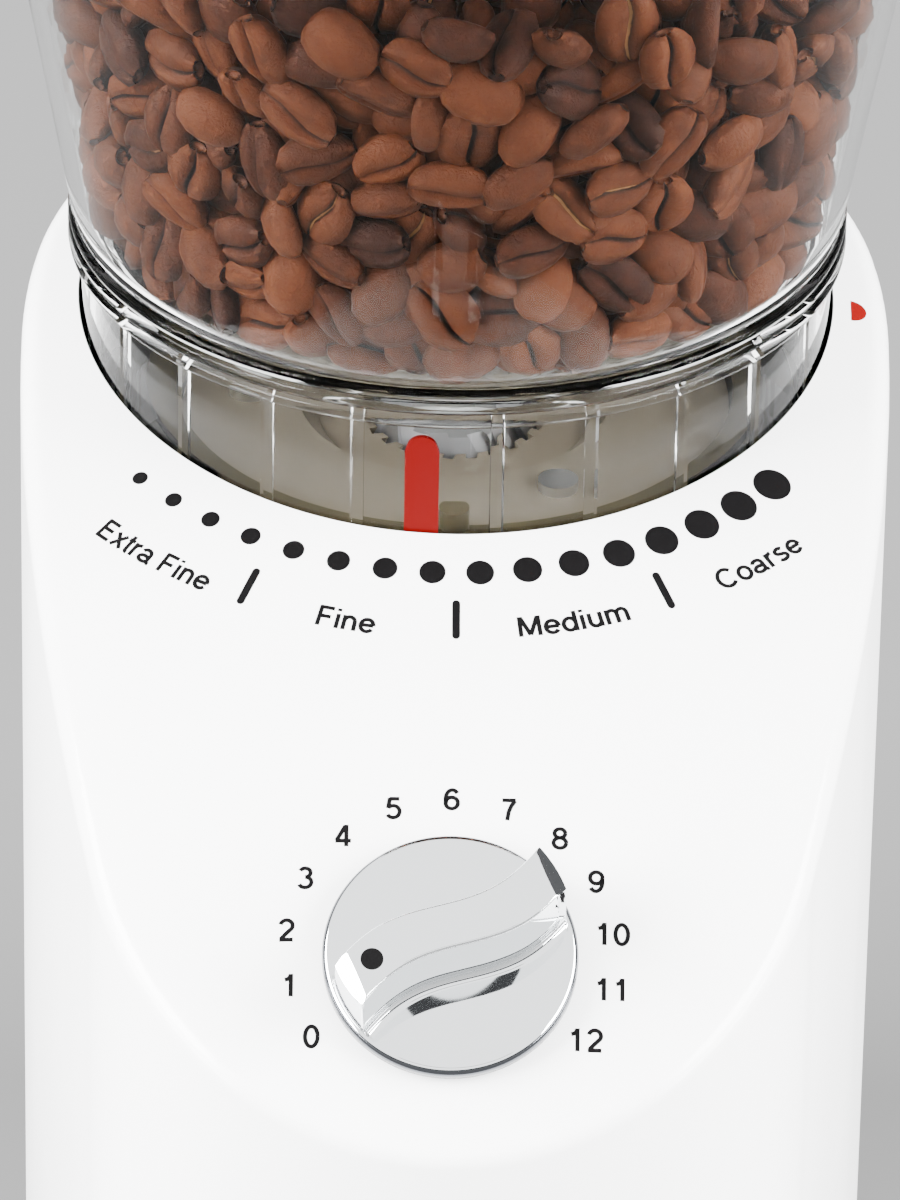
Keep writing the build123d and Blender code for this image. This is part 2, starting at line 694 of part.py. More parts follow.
def make_ring_burr():
    """Ring with a conical inside that follows the cone burr, cut by upright flutes."""
    ring = disc(ring_burr_radius, burr_low + 0.5, ring_burr_top, y=axle_y)
    low_radius = burr_radius(burr_low - 2) + burr_gap
    high_radius = burr_radius(ring_burr_top + 2) + burr_gap
    ring = ring - cone(low_radius, high_radius, burr_low - 2, ring_burr_top + 2, y=axle_y)
    half_angle = math.degrees(math.atan((burr_base_radius - burr_top_radius) / burr_height))
    for number in range(flute_count * 2):
        cutter = Rot(0, -half_angle, 0) * Rot(-14, 0, 0) * Box(2.0, 1.6, burr_height * 2)
        middle = Pos(burr_radius(burr_low + 12) + burr_gap, 0, burr_low + 12)
        limit = block((0, 60), (-60, 60), (burr_low, ring_burr_top + 1))
        ring = ring - Pos(0, axle_y, 0) * Rot(0, 0, number * 180 / flute_count) * ((middle * cutter) & limit)
    return ring


def make_sweeper():
    """Disc under the cone burr with paddles that push the grounds to the outlet."""
    hub = disc(9.0, sweeper_low, burr_low, y=axle_y)
    plate = disc(chamber_radius - 2.0, sweeper_low, sweeper_high, y=axle_y)
    blade = block((ring_burr_radius + 1.8, chamber_radius - 2.2), (-1.4, 1.4), (sweeper_high - 0.5, burr_low + 2.2))
    wheel = plate + hub
    for number in range(4):
        wheel = wheel + Pos(0, axle_y, 0) * Rot(0, 0, 90 * number + 45) * blade
    return wheel - disc(shaft_radius, sweeper_low - 1, burr_low + 1, y=axle_y)


def make_burr_nut():
    low = burr_low + burr_height
    nut = Pos(0, axle_y, low) * extrude(RegularPolygon(6.0, 6), 4.5)
    return nut - disc(3.0, low - 1, low + 6, y=axle_y)


def make_carrier():
    """Holder of the ring burr: a sleeve inside the chamber and a flange above its rim."""
    sleeve = disc(chamber_radius - 0.5, carrier_low, carrier_flange, y=axle_y)
    flange = disc(chamber_outer, carrier_flange, carrier_top, y=axle_y)
    holder = sleeve + flange - disc(ring_burr_radius, carrier_low - 1, ring_burr_top, y=axle_y)
    holder = holder - cone(throat_radius + 3, throat_radius + 8, ring_burr_top - 1, carrier_top + 1, y=axle_y)
    for x, y in carrier_screw_places:
        holder = holder - disc(pilot_radius, carrier_top - 7, carrier_top + 1, x, y)
    return holder


carrier_screw_places = [around(ring_burr_radius + 4.0, degrees) for degrees in (30, 150, 270)]


def make_carrier_screws():
    """Three screws whose heads clamp the ring burr from above."""
    screws = []
    for x, y in carrier_screw_places:
        head = disc(screw_head_radius, carrier_top, carrier_top + 1.6, x, y)
        screws.append(head + disc(pilot_radius - 0.02, carrier_top - 7, carrier_top, x, y))
    return Compound(screws)


def make_adjust_ring():
    """Ring under the hopper: a threaded sleeve round the chamber and a flange that the hopper drives."""
    sleeve = disc(ring_sleeve + sleeve_wall, chamber_rim - 9, seat_height, y=axle_y)
    flange = disc(ring_flange_radius, seat_height - ring_flange, seat_height, y=axle_y)
    ring = sleeve + flange
    for number in range(3):
        x, y = around(ring_sleeve + 1.6, 120 * number)
        lug = disc(2.2, seat_height, seat_height + 4, x, y)
        ring = ring + lug
    return ring - disc(ring_sleeve, chamber_rim - 10, seat_height + 8, y=axle_y)


# ---------------------------------------------------------------- safety switch
shelf_low = chamber_floor + 6.0
switch_in = 49.0
switch_out = 57.0
switch_height = 15.0
plunger_radius = 1.5
plunger_from_axis = 52.6


def make_switch():
    low = shelf_low + 3.0
    case = block((switch_in, switch_out), (axle_y - 7, axle_y + 7), (low, low + switch_height))
    hole = disc(plunger_radius + running_clearance, low + 4, low + 40, plunger_from_axis, axle_y)
    return case - hole


def make_plunger():
    low = shelf_low + 3.0
    stem = disc(plunger_radius, low + 6.5, seat_height, plunger_from_axis, axle_y)
    return fillet(stem.edges().sort_by(Axis.Z)[-1], 0.5)


# ---------------------------------------------------------------- hopper
def crest(height):
    """Height over the table of a place given over the crest line."""
    return deck_crest_height + height


skirt_ribs = [-63.6, -47.2, -30.5, -15.3, 6.4, 21.4, 37.7, 53.8, 70.3, 92.0, 114.0, 136.0, 158.0,
              180.0, 202.0, 224.0, 246.0, 268.0, 280.5]
pointer_angle = -5.0
lip_inner = 45.5


def make_hopper():
    """Clear bowl: skirt with ribs and an inner lip, beads, funnel with a throat, and a flaring wall."""
    skirt_high = crest(skirt_top)
    lip = 2.0
    profile = Polyline(
        (lip_inner, seat_height), (skirt_radius, seat_height), (skirt_radius, skirt_high),
        (bowl_base_radius, skirt_high + 1.6), (bowl_base_radius, crest(bowl_floor)),
        (bowl_rim_radius, crest(bowl_rim)), (bowl_rim_radius - bowl_wall, crest(bowl_rim)),
        (bowl_base_radius - bowl_wall, crest(bowl_floor)),
        (throat_radius, throat_low + 8), (throat_radius, throat_low), (throat_radius + throat_wall, throat_low),
        (throat_radius + throat_wall, throat_low + 8), (skirt_radius - skirt_wall, crest(bowl_floor) - 4),
        (skirt_radius - skirt_wall, seat_height + lip), (lip_inner, seat_height + lip), close=True)
    section = Plane((0, axle_y, 0), x_dir=(1, 0, 0), z_dir=(0, -1, 0)) * make_face(profile)
    bowl = revolve(section, Axis((0, axle_y, 0), (0, 0, 1)), 360)
    for number in range(bead_count):
        height = skirt_high + 1.6 + bead_radius + number * 2 * bead_radius
        bowl = bowl + Pos(0, axle_y, height) * Torus(bowl_base_radius - bead_radius * 0.35, bead_radius)
    for degrees in skirt_ribs:
        x, y = around(skirt_radius - skirt_wall, degrees)
        bowl = bowl + (disc(rib_width, seat_height + 1, crest(bowl_floor) - 5, x, y)
                       & disc(skirt_radius, 0, 300, y=axle_y))
    lug_room = tube(ring_sleeve + sleeve_wall + 1.2, ring_sleeve - 1.5, seat_height - 1, seat_height + 4.5, y=axle_y)
    bowl = bowl - lug_room
    return bowl - pointer_zone(0.0)


throat_low = carrier_top + 7.0
pointer_depth = 0.8
pointer_bottom = 171.0


def pointer_zone(shrink):
    """The pointer's place in the skirt: a strip with a rounded top."""
    half = pointer_width / 2 - shrink
    high = crest(skirt_top) - 1.5
    reach = skirt_radius + 2
    strip = block((-half, half), (-reach, -skirt_radius + pointer_depth), (pointer_bottom, high - half))
    top = Pos(0, -skirt_radius, high - half) * Rot(90, 0, 0) * Cylinder(half, 2 * pointer_depth)
    place = strip + (top & block((-half, half), (-reach, -skirt_radius + pointer_depth), (0, 300)))
    return Pos(0, axle_y, 0) * Rot(0, 0, pointer_angle) * place


def make_pointer():
    """Red strip let into the skirt."""
    return pointer_zone(0.0) & disc(skirt_radius, 0, 300, y=axle_y)


def make_hopper_lid():
    """Lid with a shallow crown, a plug ring inside the rim and a round grip."""
    low = crest(bowl_rim)
    plate = disc(lid_radius, low, low + lid_thickness, y=axle_y)
    plate = fillet(plate.edges().sort_by(Axis.Z)[-1], 1.2)
    plug_radius = bowl_rim_radius - bowl_wall - 0.9 - lid_plug_depth * (bowl_rim_radius - bowl_base_radius) / (
        bowl_rim - bowl_floor)
    plug = tube(plug_radius, plug_radius - 1.8, low - lid_plug_depth, low + 0.5, y=axle_y)
    grip = cone(9.0, 12.0, low + lid_thickness - 0.1, low + lid_thickness + lid_grip_height, y=axle_y)
    grip = fillet(grip.edges().sort_by(Axis.Z)[-1], 1.6)
    return plate + plug + grip


# ---------------------------------------------------------------- motor
can_wall = 1.5
magnet_thickness = 5.5
rotor_radius = motor_radius - can_wall - magnet_thickness - 0.8
cap_thickness = 3.0
motor_boss = 2.0


def make_motor_can():
    """Drawn can, open below, with a bearing seat and cooling slots in its top."""
    can = tube(motor_radius, motor_radius - can_wall, motor_bottom + cap_thickness, motor_top, y=motor_y)
    top = tube(motor_radius, motor_shaft_radius + 2.5, motor_top - can_wall, motor_top, y=motor_y)
    boss = tube(motor_shaft_radius + 4, motor_shaft_radius + 2.5, motor_top - can_wall, gearbox_floor + 1.0, y=motor_y)
    can = can + top + boss
    for number in range(6):
        x, y = around(19.0, 60 * number + 30, motor_y)
        can = can - disc(3.6, motor_top - 5, motor_top + 1, x, y)
    for x, y in motor_screw_places:
        can = can + disc(screw_head_radius + 1.4, motor_top, gearbox_floor, x, y)
        can = can - disc(pilot_radius, motor_top - 5, gearbox_floor + 1, x, y)
    return can


motor_screw_places = [(-12.0, motor_y + 14.0), (12.0, motor_y + 14.0)]


def make_motor_screws():
    screws = []
    for x, y in motor_screw_places:
        floor = gearbox_floor + gearbox_wall
        head = disc(screw_head_radius - 0.4, floor, floor + 1.2, x, y)
        screws.append(head + disc(pilot_radius - 0.02, motor_top - 1.0, floor, x, y))
    return Compound(screws)


def make_motor_cap():
    cap = disc(motor_radius, motor_bottom, motor_bottom + cap_thickness, y=motor_y)
    inside = disc(motor_radius - can_wall, motor_bottom + cap_thickness, motor_bottom + cap_thickness + 3, y=motor_y)
    seat = disc(7.0, motor_bottom + cap_thickness, motor_bottom + cap_thickness + 7, y=motor_y)
    room = disc(motor_radius - can_wall - 2, motor_bottom + cap_thickness, motor_bottom + 9, y=motor_y)
    return cap + (inside - room) + seat - disc(motor_shaft_radius + 2.5, motor_bottom + 1.5, 60, y=motor_y)


def make_motor_bushes():
    """Two bushes of the motor shaft, in the cap and in the can's top."""
    lower = tube(motor_shaft_radius + 2.5, motor_shaft_radius + running_clearance,
                 motor_bottom + 1.5, motor_bottom + 9.5, y=motor_y)
    upper = tube(motor_shaft_radius + 2.5, motor_shaft_radius + running_clearance,
                 motor_top - can_wall - 1.0, gearbox_floor + 1.0, y=motor_y)
    return Compound([lower, upper])


magnet_low = 42.0
magnet_high = 82.0


def make_magnets():
    """Two curved magnets against the can, one on each side."""
    shell = tube(motor_radius - can_wall, motor_radius - can_wall - magnet_thickness, magnet_low, magnet_high, y=motor_y)
    slot = block((-9, 9), (motor_y - 60, motor_y + 60), (0, 200))
    return Compound((shell - slot).solids())


def make_rotor():
    """Stack of slotted laminations with its windings as a core."""
    core = disc(rotor_radius, magnet_low + 4, magnet_high - 4, y=motor_y)
    for number in range(12):
        x, y = around(rotor_radius - 1.5, 30 * number, motor_y)
        core = core - disc(2.0, 0, 200, x, y)
    for low, high in ((magnet_low - 1, magnet_low + 4), (magnet_high - 4, magnet_high + 1)):
        coil = tube(rotor_radius - 4, motor_shaft_radius, low, high, y=motor_y)
        core = core + coil
    return core - disc(motor_shaft_radius, 0, 200, y=motor_y)


def make_commutator():
    low = motor_bottom + 12
    ring = tube(7.5, motor_shaft_radius, low, low + 8, y=motor_y)
    for number in range(12):
        groove = block((6.6, 9), (-0.3, 0.3), (low - 1, low + 9))
        ring = ring - Pos(0, motor_y, 0) * Rot(0, 0, 30 * number + 15) * groove
    return ring


def make_fan():
    """Cooling fan above the rotor: a disc with radial blades."""
    low = magnet_high + 3
    wheel = disc(rotor_radius + 2, low, low + 1.6, y=motor_y) + disc(6, low, low + 8, y=motor_y)
    blade = block((5, rotor_radius + 2), (-0.7, 0.7), (low, low + 8))
    for number in range(9):
        wheel = wheel + Pos(0, motor_y, 0) * Rot(0, 0, 40 * number) * blade
    return wheel - disc(motor_shaft_radius, low - 1, low + 9, y=motor_y)


def make_brushes():
    """Two carbon brushes in their holders beside the commutator, standing on the cap."""
    low = motor_bottom + cap_thickness
    brushes = []
    for side in (-1, 1):
        spans = sorted((side * 7.8, side * 16.0))
        legs = sorted((side * 10.0, side * 16.0))
        holder = block(spans, (motor_y - 3, motor_y + 3), (low + 10, low + 15))
        leg = block(legs, (motor_y - 3, motor_y + 3), (low, low + 10))
        brushes.append(holder + leg)
    return Compound(brushes)


def make_motor_shaft():
    return disc(motor_shaft_radius, motor_bottom + 2, fast_high + 0.6, y=motor_y)


def make_motor_pinion():
    turn = to_motor + 180 + 180 / motor_pinion_teeth
    return gear(motor_pinion_teeth, fast_module, turn, fast_low, fast_high, 0, motor_y, motor_shaft_radius)


# ---------------------------------------------------------------- timer
pad_top = -wall - 0.42
timer_top = pad_top - 1.2


def make_timer_case():
    """Clockwork case under the top, square to it, with a bore for its shaft."""
    case = Pos(0, 0, timer_top - timer_depth / 2) * Box(timer_size, timer_size, timer_depth)
    case = fillet(case.edges().filter_by(Axis.Z), 4.0)
    room = Pos(0, 0, timer_top - timer_depth / 2 - 1) * Box(timer_size - 5, timer_size - 9, timer_depth - 6)
    bore = Cylinder(timer_shaft_radius + running_clearance, 80)
    pads = Pos(-timer_screw_spread, 0, timer_top - 3) * Cylinder(4, 6)
    pads = pads + Pos(timer_screw_spread, 0, timer_top - 3) * Cylinder(4, 6)
    case = case - room + pads - bore
    for x in (-timer_screw_spread, timer_screw_spread):
        case = case - Pos(x, 0, 0) * Cylinder(pilot_radius, 24)
        case = case + tube(3.4, pilot_radius, timer_top, pad_top, x)
    return knob_plane * case


def make_timer_screws():
    screws = []
    for x in (-timer_screw_spread, timer_screw_spread):
        head = Pos(x, 0, -1.4) * Cylinder(timer_head_radius, 1.0)
        shank = Pos(x, 0, -1.9 - 4.0) * Cylinder(pilot_radius - 0.02, 8.0)
        screws.append(knob_plane * (head + shank))
    return Compound(screws)


def make_timer_shaft():
    """Shaft with a flat at its upper end, where the knob grips it."""
    low = timer_top - timer_depth + 2
    high = knob_height - 4
    shaft = Pos(0, 0, (low + high) / 2) * Cylinder(timer_shaft_radius, high - low)
    flat = Pos(0, timer_shaft_radius, knob_base + 10) * Box(10, 1.6, 20)
    return knob_plane * (shaft - flat)


def grip_side(offset_from_middle, steps=12):
    """One long side of the S-shaped grip: a sine wave along the grip, one wave over its length."""
    points = []
    for step in range(steps + 1):
        along = knob_radius * 1.1 * (2 * step / steps - 1)
        sideways = -grip_swing * math.sin(math.pi * along / knob_radius) + offset_from_middle
        points.append((along, sideways))
    return points


def make_knob():
    """Round base with a high S-shaped grip; the grip's end that carries the dot points at zero."""
    base = Pos(0, 0, (knob_gap + knob_base) / 2) * Cylinder(knob_radius, knob_base - knob_gap)
    base = fillet(base.edges().sort_by(Axis.Z)[-1], 0.6)
    right = grip_side(-grip_width / 2)
    left = list(reversed(grip_side(grip_width / 2)))
    outline = Curve() + [Spline(*right), Line(right[-1], left[0]), Spline(*left), Line(left[-1], right[0])]
    grip = Pos(0, 0, knob_base - 0.5) * extrude(make_face(outline), knob_height - knob_base + 0.5)
    grip = grip & Cylinder(knob_radius - 0.6, 60)
    grip = fillet(grip.edges().group_by(Axis.Z)[-1], 0.5)
    turn = 90 - zero_angle - 180
    knob = base + Rot(0, 0, turn) * grip
    bore = Pos(0, 0, (knob_height - 4) / 2) * Cylinder(timer_shaft_radius, knob_height - 4)
    flat = Pos(0, timer_shaft_radius, knob_base + 10) * Box(10, 1.6, 20)
    return knob_plane * (knob - (bore - flat))


# ---------------------------------------------------------------- every piece and its file
lower_bush, upper_bush = make_bushes()
pieces = {
    "housing_shell": make_housing(),
    "base_plate": make_base_plate(),
    "base_screws": make_base_screws(),
    "rubber_feet": make_feet(),
    "cord_inlet": make_inlet(),
    "container_bay": make_container_bay(),
    "grind_chamber": make_chamber(),
    "chamber_screws": make_chamber_screws(),
    "grounds_chute": make_chute(),
    "gearbox_case": make_gearbox_case(),
    "gearbox_cover": make_gearbox_cover(),
    "gearbox_screws": make_gearbox_screws(),
    "lower_bush": lower_bush,
    "upper_bush": upper_bush,
    "idler_pin": disc(idler_pin_radius, gearbox_floor, gearbox_top, idler_x, idler_y),
    "motor_can": make_motor_can(),
    "motor_cap": make_motor_cap(),
    "motor_magnets": make_magnets(),
    "motor_bushes": make_motor_bushes(),
    "motor_brushes": make_brushes(),
    "motor_screws": make_motor_screws(),
    "motor_shaft": make_motor_shaft(),
    "rotor_core": make_rotor(),
    "commutator": make_commutator(),
    "cooling_fan": make_fan(),
    "motor_pinion": make_motor_pinion(),
    "control_board": make_board(),
    "board_parts": make_board_parts(),
    "safety_switch": make_switch(),
    "switch_plunger": make_plunger(),
    "idler_gear": make_idler(),
    "drive_gear": make_drive_gear(),
    "burr_shaft": make_burr_shaft(),
    "sweeper": make_sweeper(),
    "cone_burr": make_cone_burr(),
    "burr_nut": make_burr_nut(),
    "ring_burr": make_ring_burr(),
    "burr_carrier": make_carrier(),
    "carrier_screws": make_carrier_screws(),
    "adjust_ring": make_adjust_ring(),
    "hopper_bowl": make_hopper(),
    "hopper_pointer": make_pointer(),
    "hopper_lid": make_hopper_lid(),
    "timer_case": make_timer_case(),
    "timer_screws": make_timer_screws(),
    "timer_shaft": make_timer_shaft(),
    "timer_knob": make_knob(),
    "grounds_container": make_container(),
    "container_lid": make_container_lid(),
}

os.makedirs("parts", exist_ok=True)
for name, piece in pieces.items():
    export_step(piece, "parts/" + name + ".step")
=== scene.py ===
"""Looks of a table-top burr coffee grinder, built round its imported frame.

Every length is in metres, in the frame's own axes: X to the right, Y to the back, Z up from the table.
"""

import json
import logging
import math
from dataclasses import dataclass, field
from enum import Enum
from typing import Callable, Iterable, Optional, Sequence

import bmesh
import bpy
import numpy as np
from mathutils import Matrix, Vector


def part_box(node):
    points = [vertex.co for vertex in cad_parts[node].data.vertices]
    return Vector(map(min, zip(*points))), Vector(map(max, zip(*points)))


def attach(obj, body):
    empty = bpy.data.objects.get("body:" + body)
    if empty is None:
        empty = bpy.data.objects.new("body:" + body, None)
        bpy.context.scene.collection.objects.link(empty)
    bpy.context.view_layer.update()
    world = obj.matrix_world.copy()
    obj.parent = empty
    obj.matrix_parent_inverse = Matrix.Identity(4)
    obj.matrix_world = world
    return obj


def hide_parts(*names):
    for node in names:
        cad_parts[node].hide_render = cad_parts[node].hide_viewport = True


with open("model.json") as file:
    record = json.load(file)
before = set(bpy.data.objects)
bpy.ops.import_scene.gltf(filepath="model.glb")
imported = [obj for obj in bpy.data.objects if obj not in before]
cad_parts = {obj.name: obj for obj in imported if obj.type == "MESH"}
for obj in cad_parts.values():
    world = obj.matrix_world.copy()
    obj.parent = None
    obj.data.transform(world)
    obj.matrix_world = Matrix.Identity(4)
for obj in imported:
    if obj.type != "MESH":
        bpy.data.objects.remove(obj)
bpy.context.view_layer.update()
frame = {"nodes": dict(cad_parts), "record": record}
LOG = logging.getLogger("grinder")
MM = 0.001


# ---------------------------------------------------------------- choices
class Body(Enum):
    """Moving bodies that pieces ride on."""

    HOUSING = "housing"
    HOPPER = "hopper"
    LID = "lid"
    TIMER = "timer"


class Slot(Enum):
    """Material slots of the record."""

    WHITE = "white_plastic"
    DARK = "dark_plastic"
    CREAM = "cream_plastic"
    GREY = "grey_plastic"
    NYLON = "gear_nylon"
    BOARD = "board_green"
    RED = "red_plastic"
    CLEAR = "clear_plastic"
    SMOKE = "smoke_plastic"
    RUBBER = "foot_rubber"
    SCREW = "screw_steel"
    SHAFT = "shaft_steel"
    CAN = "can_steel"
    BURR = "burr_steel"
    MAGNET = "magnet_iron"
    BRASS = "bush_brass"
    CHROME = "knob_chrome"


# ---------------------------------------------------------------- mesh tools
def mesh_piece(name: str, points: np.ndarray, faces: Sequence[np.ndarray],
               smooth: bool = True) -> bpy.types.Object:
    """Make an object from point and face arrays.

    Args:
        name: Name of the piece.
        points: Array of shape (count, 3), in metres.
        faces: Arrays of point numbers, each of shape (faces, corners).
        smooth: Whether the faces are shaded smooth.

    Returns:
        The new object, at the origin.
    """
    mesh = bpy.data.meshes.new(name)
    corners = np.concatenate([part.ravel() for part in faces]).astype(np.int32)
    counts = np.concatenate([np.full(len(part), part.shape[1]) for part in faces]).astype(np.int32)
    mesh.vertices.add(len(points))
    mesh.vertices.foreach_set("co", np.asarray(points, np.float32).ravel())
    mesh.loops.add(len(corners))
    mesh.loops.foreach_set("vertex_index", corners)
    mesh.polygons.add(len(counts))
    mesh.polygons.foreach_set("loop_start", np.concatenate([[0], np.cumsum(counts)[:-1]]).astype(np.int32))
    mesh.polygons.foreach_set("use_smooth", np.full(len(counts), smooth))
    mesh.update(calc_edges=True)
    mesh.validate()
    piece = bpy.data.objects.new(name, mesh)
    bpy.context.scene.collection.objects.link(piece)
    return piece


def grid_faces(rows: int, columns: int, wrap_rows: bool = False, wrap_columns: bool = False) -> np.ndarray:
    """Four-cornered faces of a grid of points numbered row by row.

    Args:
        rows: Number of rows.
        columns: Number of points in a row.
        wrap_rows: Whether the last row joins the first.
        wrap_columns: Whether the last column joins the first.

    Returns:
        Array of shape (faces, 4).
    """
    row = np.arange(rows if wrap_rows else rows - 1)[:, None]
    column = np.arange(columns if wrap_columns else columns - 1)[None, :]
    next_row = (row + 1) % rows
    next_column = (column + 1) % columns
    quad = [row * columns + column, row * columns + next_column,
            next_row * columns + next_column, next_row * columns + column]
    return np.stack([np.broadcast_to(part, (row.size, column.size)).ravel() for part in quad], axis=1)


def grid_border(rows: int, columns: int) -> np.ndarray:
    """Point numbers round the border of a grid, in order.

    Args:
        rows: Number of rows.
        columns: Number of points in a row.

    Returns:
        Array of point numbers, each border point once.
    """
    return np.concatenate([np.arange(columns), np.arange(1, rows) * columns + columns - 1,
                           (rows - 1) * columns + np.arange(columns - 2, -1, -1),
                           np.arange(rows - 2, 0, -1) * columns])


def outward(piece: bpy.types.Object) -> bpy.types.Object:
    """Merge doubled points and turn every face outwards.

    Args:
        piece: Object to change.

    Returns:
        The same object.
    """
    work = bmesh.new()
    work.from_mesh(piece.data)
    bmesh.ops.remove_doubles(work, verts=work.verts, dist=1e-7)
    bmesh.ops.recalc_face_normals(work, faces=work.faces)
    work.to_mesh(piece.data)
    work.free()
    return piece


def sharpen(piece: bpy.types.Object, degrees: float) -> None:
    """Keep the edges hard where faces meet at more than an angle."""
    split = piece.modifiers.new("split", "EDGE_SPLIT")
    split.split_angle = math.radians(degrees)


def soften(piece: bpy.types.Object, degrees: float = 32.0) -> None:
    """Shade an object smooth with hard edges above an angle, after its loose triangles are welded.

    Args:
        piece: Object to change.
        degrees: Edges sharper than this stay hard.
    """
    piece.data.polygons.foreach_set("use_smooth", np.full(len(piece.data.polygons), True))
    weld = piece.modifiers.new("weld", "WELD")
    weld.merge_threshold = 2e-6
    sharpen(piece, degrees)


def revolve(name: str, profile: np.ndarray, centre: tuple[float, float], turns: np.ndarray,
            inward: Optional[Callable[[np.ndarray, np.ndarray], np.ndarray]] = None) -> bpy.types.Object:
    """Turn a closed profile about an upright axis.

    A point is (radius times sine, minus radius times cosine, height), where the radius may be
    lessened by a function of the profile row and the angle.

    Args:
        name: Name of the piece.
        profile: Array of (radius, height) rows in metres, closed from last to first.
        centre: X and Y of the axis.
        turns: Angles in radians, measured from the front towards +X.
        inward: Function of (row numbers, angles) that gives what to take off the radius.

    Returns:
        The new closed object.
    """
    radius = np.repeat(profile[:, :1], len(turns), axis=1)
    if inward is not None:
        radius = radius - inward(np.arange(len(profile))[:, None], turns[None, :])
    x = centre[0] + radius * np.sin(turns)
    y = centre[1] - radius * np.cos(turns)
    z = np.repeat(profile[:, 1:], len(turns), axis=1)
    points = np.stack([x, y, z], axis=-1).reshape(-1, 3)
    faces = grid_faces(len(profile), len(turns), True, True)
    return outward(mesh_piece(name, points, [faces]))


def arc(centre: tuple[float, float], radius: float, start: float, end: float, steps: int) -> np.ndarray:
    """Points on a circle: centre plus radius times (cosine, sine), from start to end degrees."""
    angle = np.radians(np.linspace(start, end, steps))
    return np.stack([centre[0] + radius * np.cos(angle), centre[1] + radius * np.sin(angle)], axis=1)


# ---------------------------------------------------------------- shader tools
@dataclass
class Bench:
    """Short-hand for wiring one node tree."""

    tree: bpy.types.NodeTree

    def add(self, kind: str, **values: object) -> bpy.types.Node:
        """Add a node and set its properties and unlinked inputs.

        Args:
            kind: Node type name.
            values: Properties, or inputs by name with spaces written as underscores.

        Returns:
            The new node.
        """
        node = self.tree.nodes.new(kind)
        for key, value in values.items():
            if hasattr(node, key):
                setattr(node, key, value)
            else:
                self.socket(node.inputs, key).default_value = value
        return node

    @staticmethod
    def socket(sockets: bpy.types.bpy_prop_collection, key: str) -> bpy.types.NodeSocket:
        """Socket by name, with spaces written as underscores."""
        return next(one for one in sockets if one.name.replace(" ", "_") == key and one.enabled)

    def link(self, source: bpy.types.NodeSocket, target: bpy.types.NodeSocket) -> None:
        """Join two sockets."""
        self.tree.links.new(source, target)

    def math(self, operation: str, first: object, second: object) -> bpy.types.NodeSocket:
        """Join two values by a sum, product and so on, and return the result's socket.

        Args:
            operation: Name of the operation.
            first: Socket or plain value.
            second: Socket or plain value.

        Returns:
            The result's socket.
        """
        node = self.tree.nodes.new("ShaderNodeMath")
        node.operation = operation
        for place, value in enumerate((first, second)):
            if isinstance(value, bpy.types.NodeSocket):
                self.link(value, node.inputs[place])
            else:
                node.inputs[place].default_value = float(value)
        return node.outputs[0]

    def blend(self, mask: bpy.types.NodeSocket, first: object, second: object) -> bpy.types.NodeSocket:
        """Mix two colours by a mask and return the result's socket.

        Args:
            mask: Share of the second.
            first: Socket or plain value.
            second: Socket or plain value.

        Returns:
            The result's socket.
        """
        node = self.tree.nodes.new("ShaderNodeMix")
        node.data_type = "RGBA"
        self.link(mask, node.inputs[0])
        for place, value in ((6, first), (7, second)):
            if isinstance(value, bpy.types.NodeSocket):
                self.link(value, node.inputs[place])
            else:
                node.inputs[place].default_value = (*value[:3], 1.0)
        return node.outputs[2]

    def ramp(self, value: bpy.types.NodeSocket, low: float, high: float,
             to_low: float = 0.0, to_high: float = 1.0) -> bpy.types.NodeSocket:
        """Map a range of a value smoothly onto another range.

        Args:
            value: Socket to map.
            low: Start of its range.
            high: End of its range.
            to_low: Start of the new range.
            to_high: End of the new range.

        Returns:
            The result's socket.
        """
        node = self.tree.nodes.new("ShaderNodeMapRange")
        node.interpolation_type = "SMOOTHSTEP"
        self.link(value, node.inputs[0])
        for place, number in enumerate((low, high, to_low, to_high), start=1):
            node.inputs[place].default_value = number
        return node.outputs[0]


def new_group(name: str, inputs: dict[str, float],
              outputs: dict[str, str]) -> tuple[bpy.types.NodeTree, Bench]:
    """Start a shader group.

    Args:
        name: Name of the group.
        inputs: Names and default values of its number inputs.
        outputs: Names and socket types of its outputs.

    Returns:
        The group and a bench for it.
    """
    group = bpy.data.node_groups.new(name, "ShaderNodeTree")
    for key, value in inputs.items():
        socket = group.interface.new_socket(name=key, in_out="INPUT", socket_type="NodeSocketFloat")
        socket.default_value = value
    for key, kind in outputs.items():
        group.interface.new_socket(name=key, in_out="OUTPUT", socket_type=kind)
    return group, Bench(group)


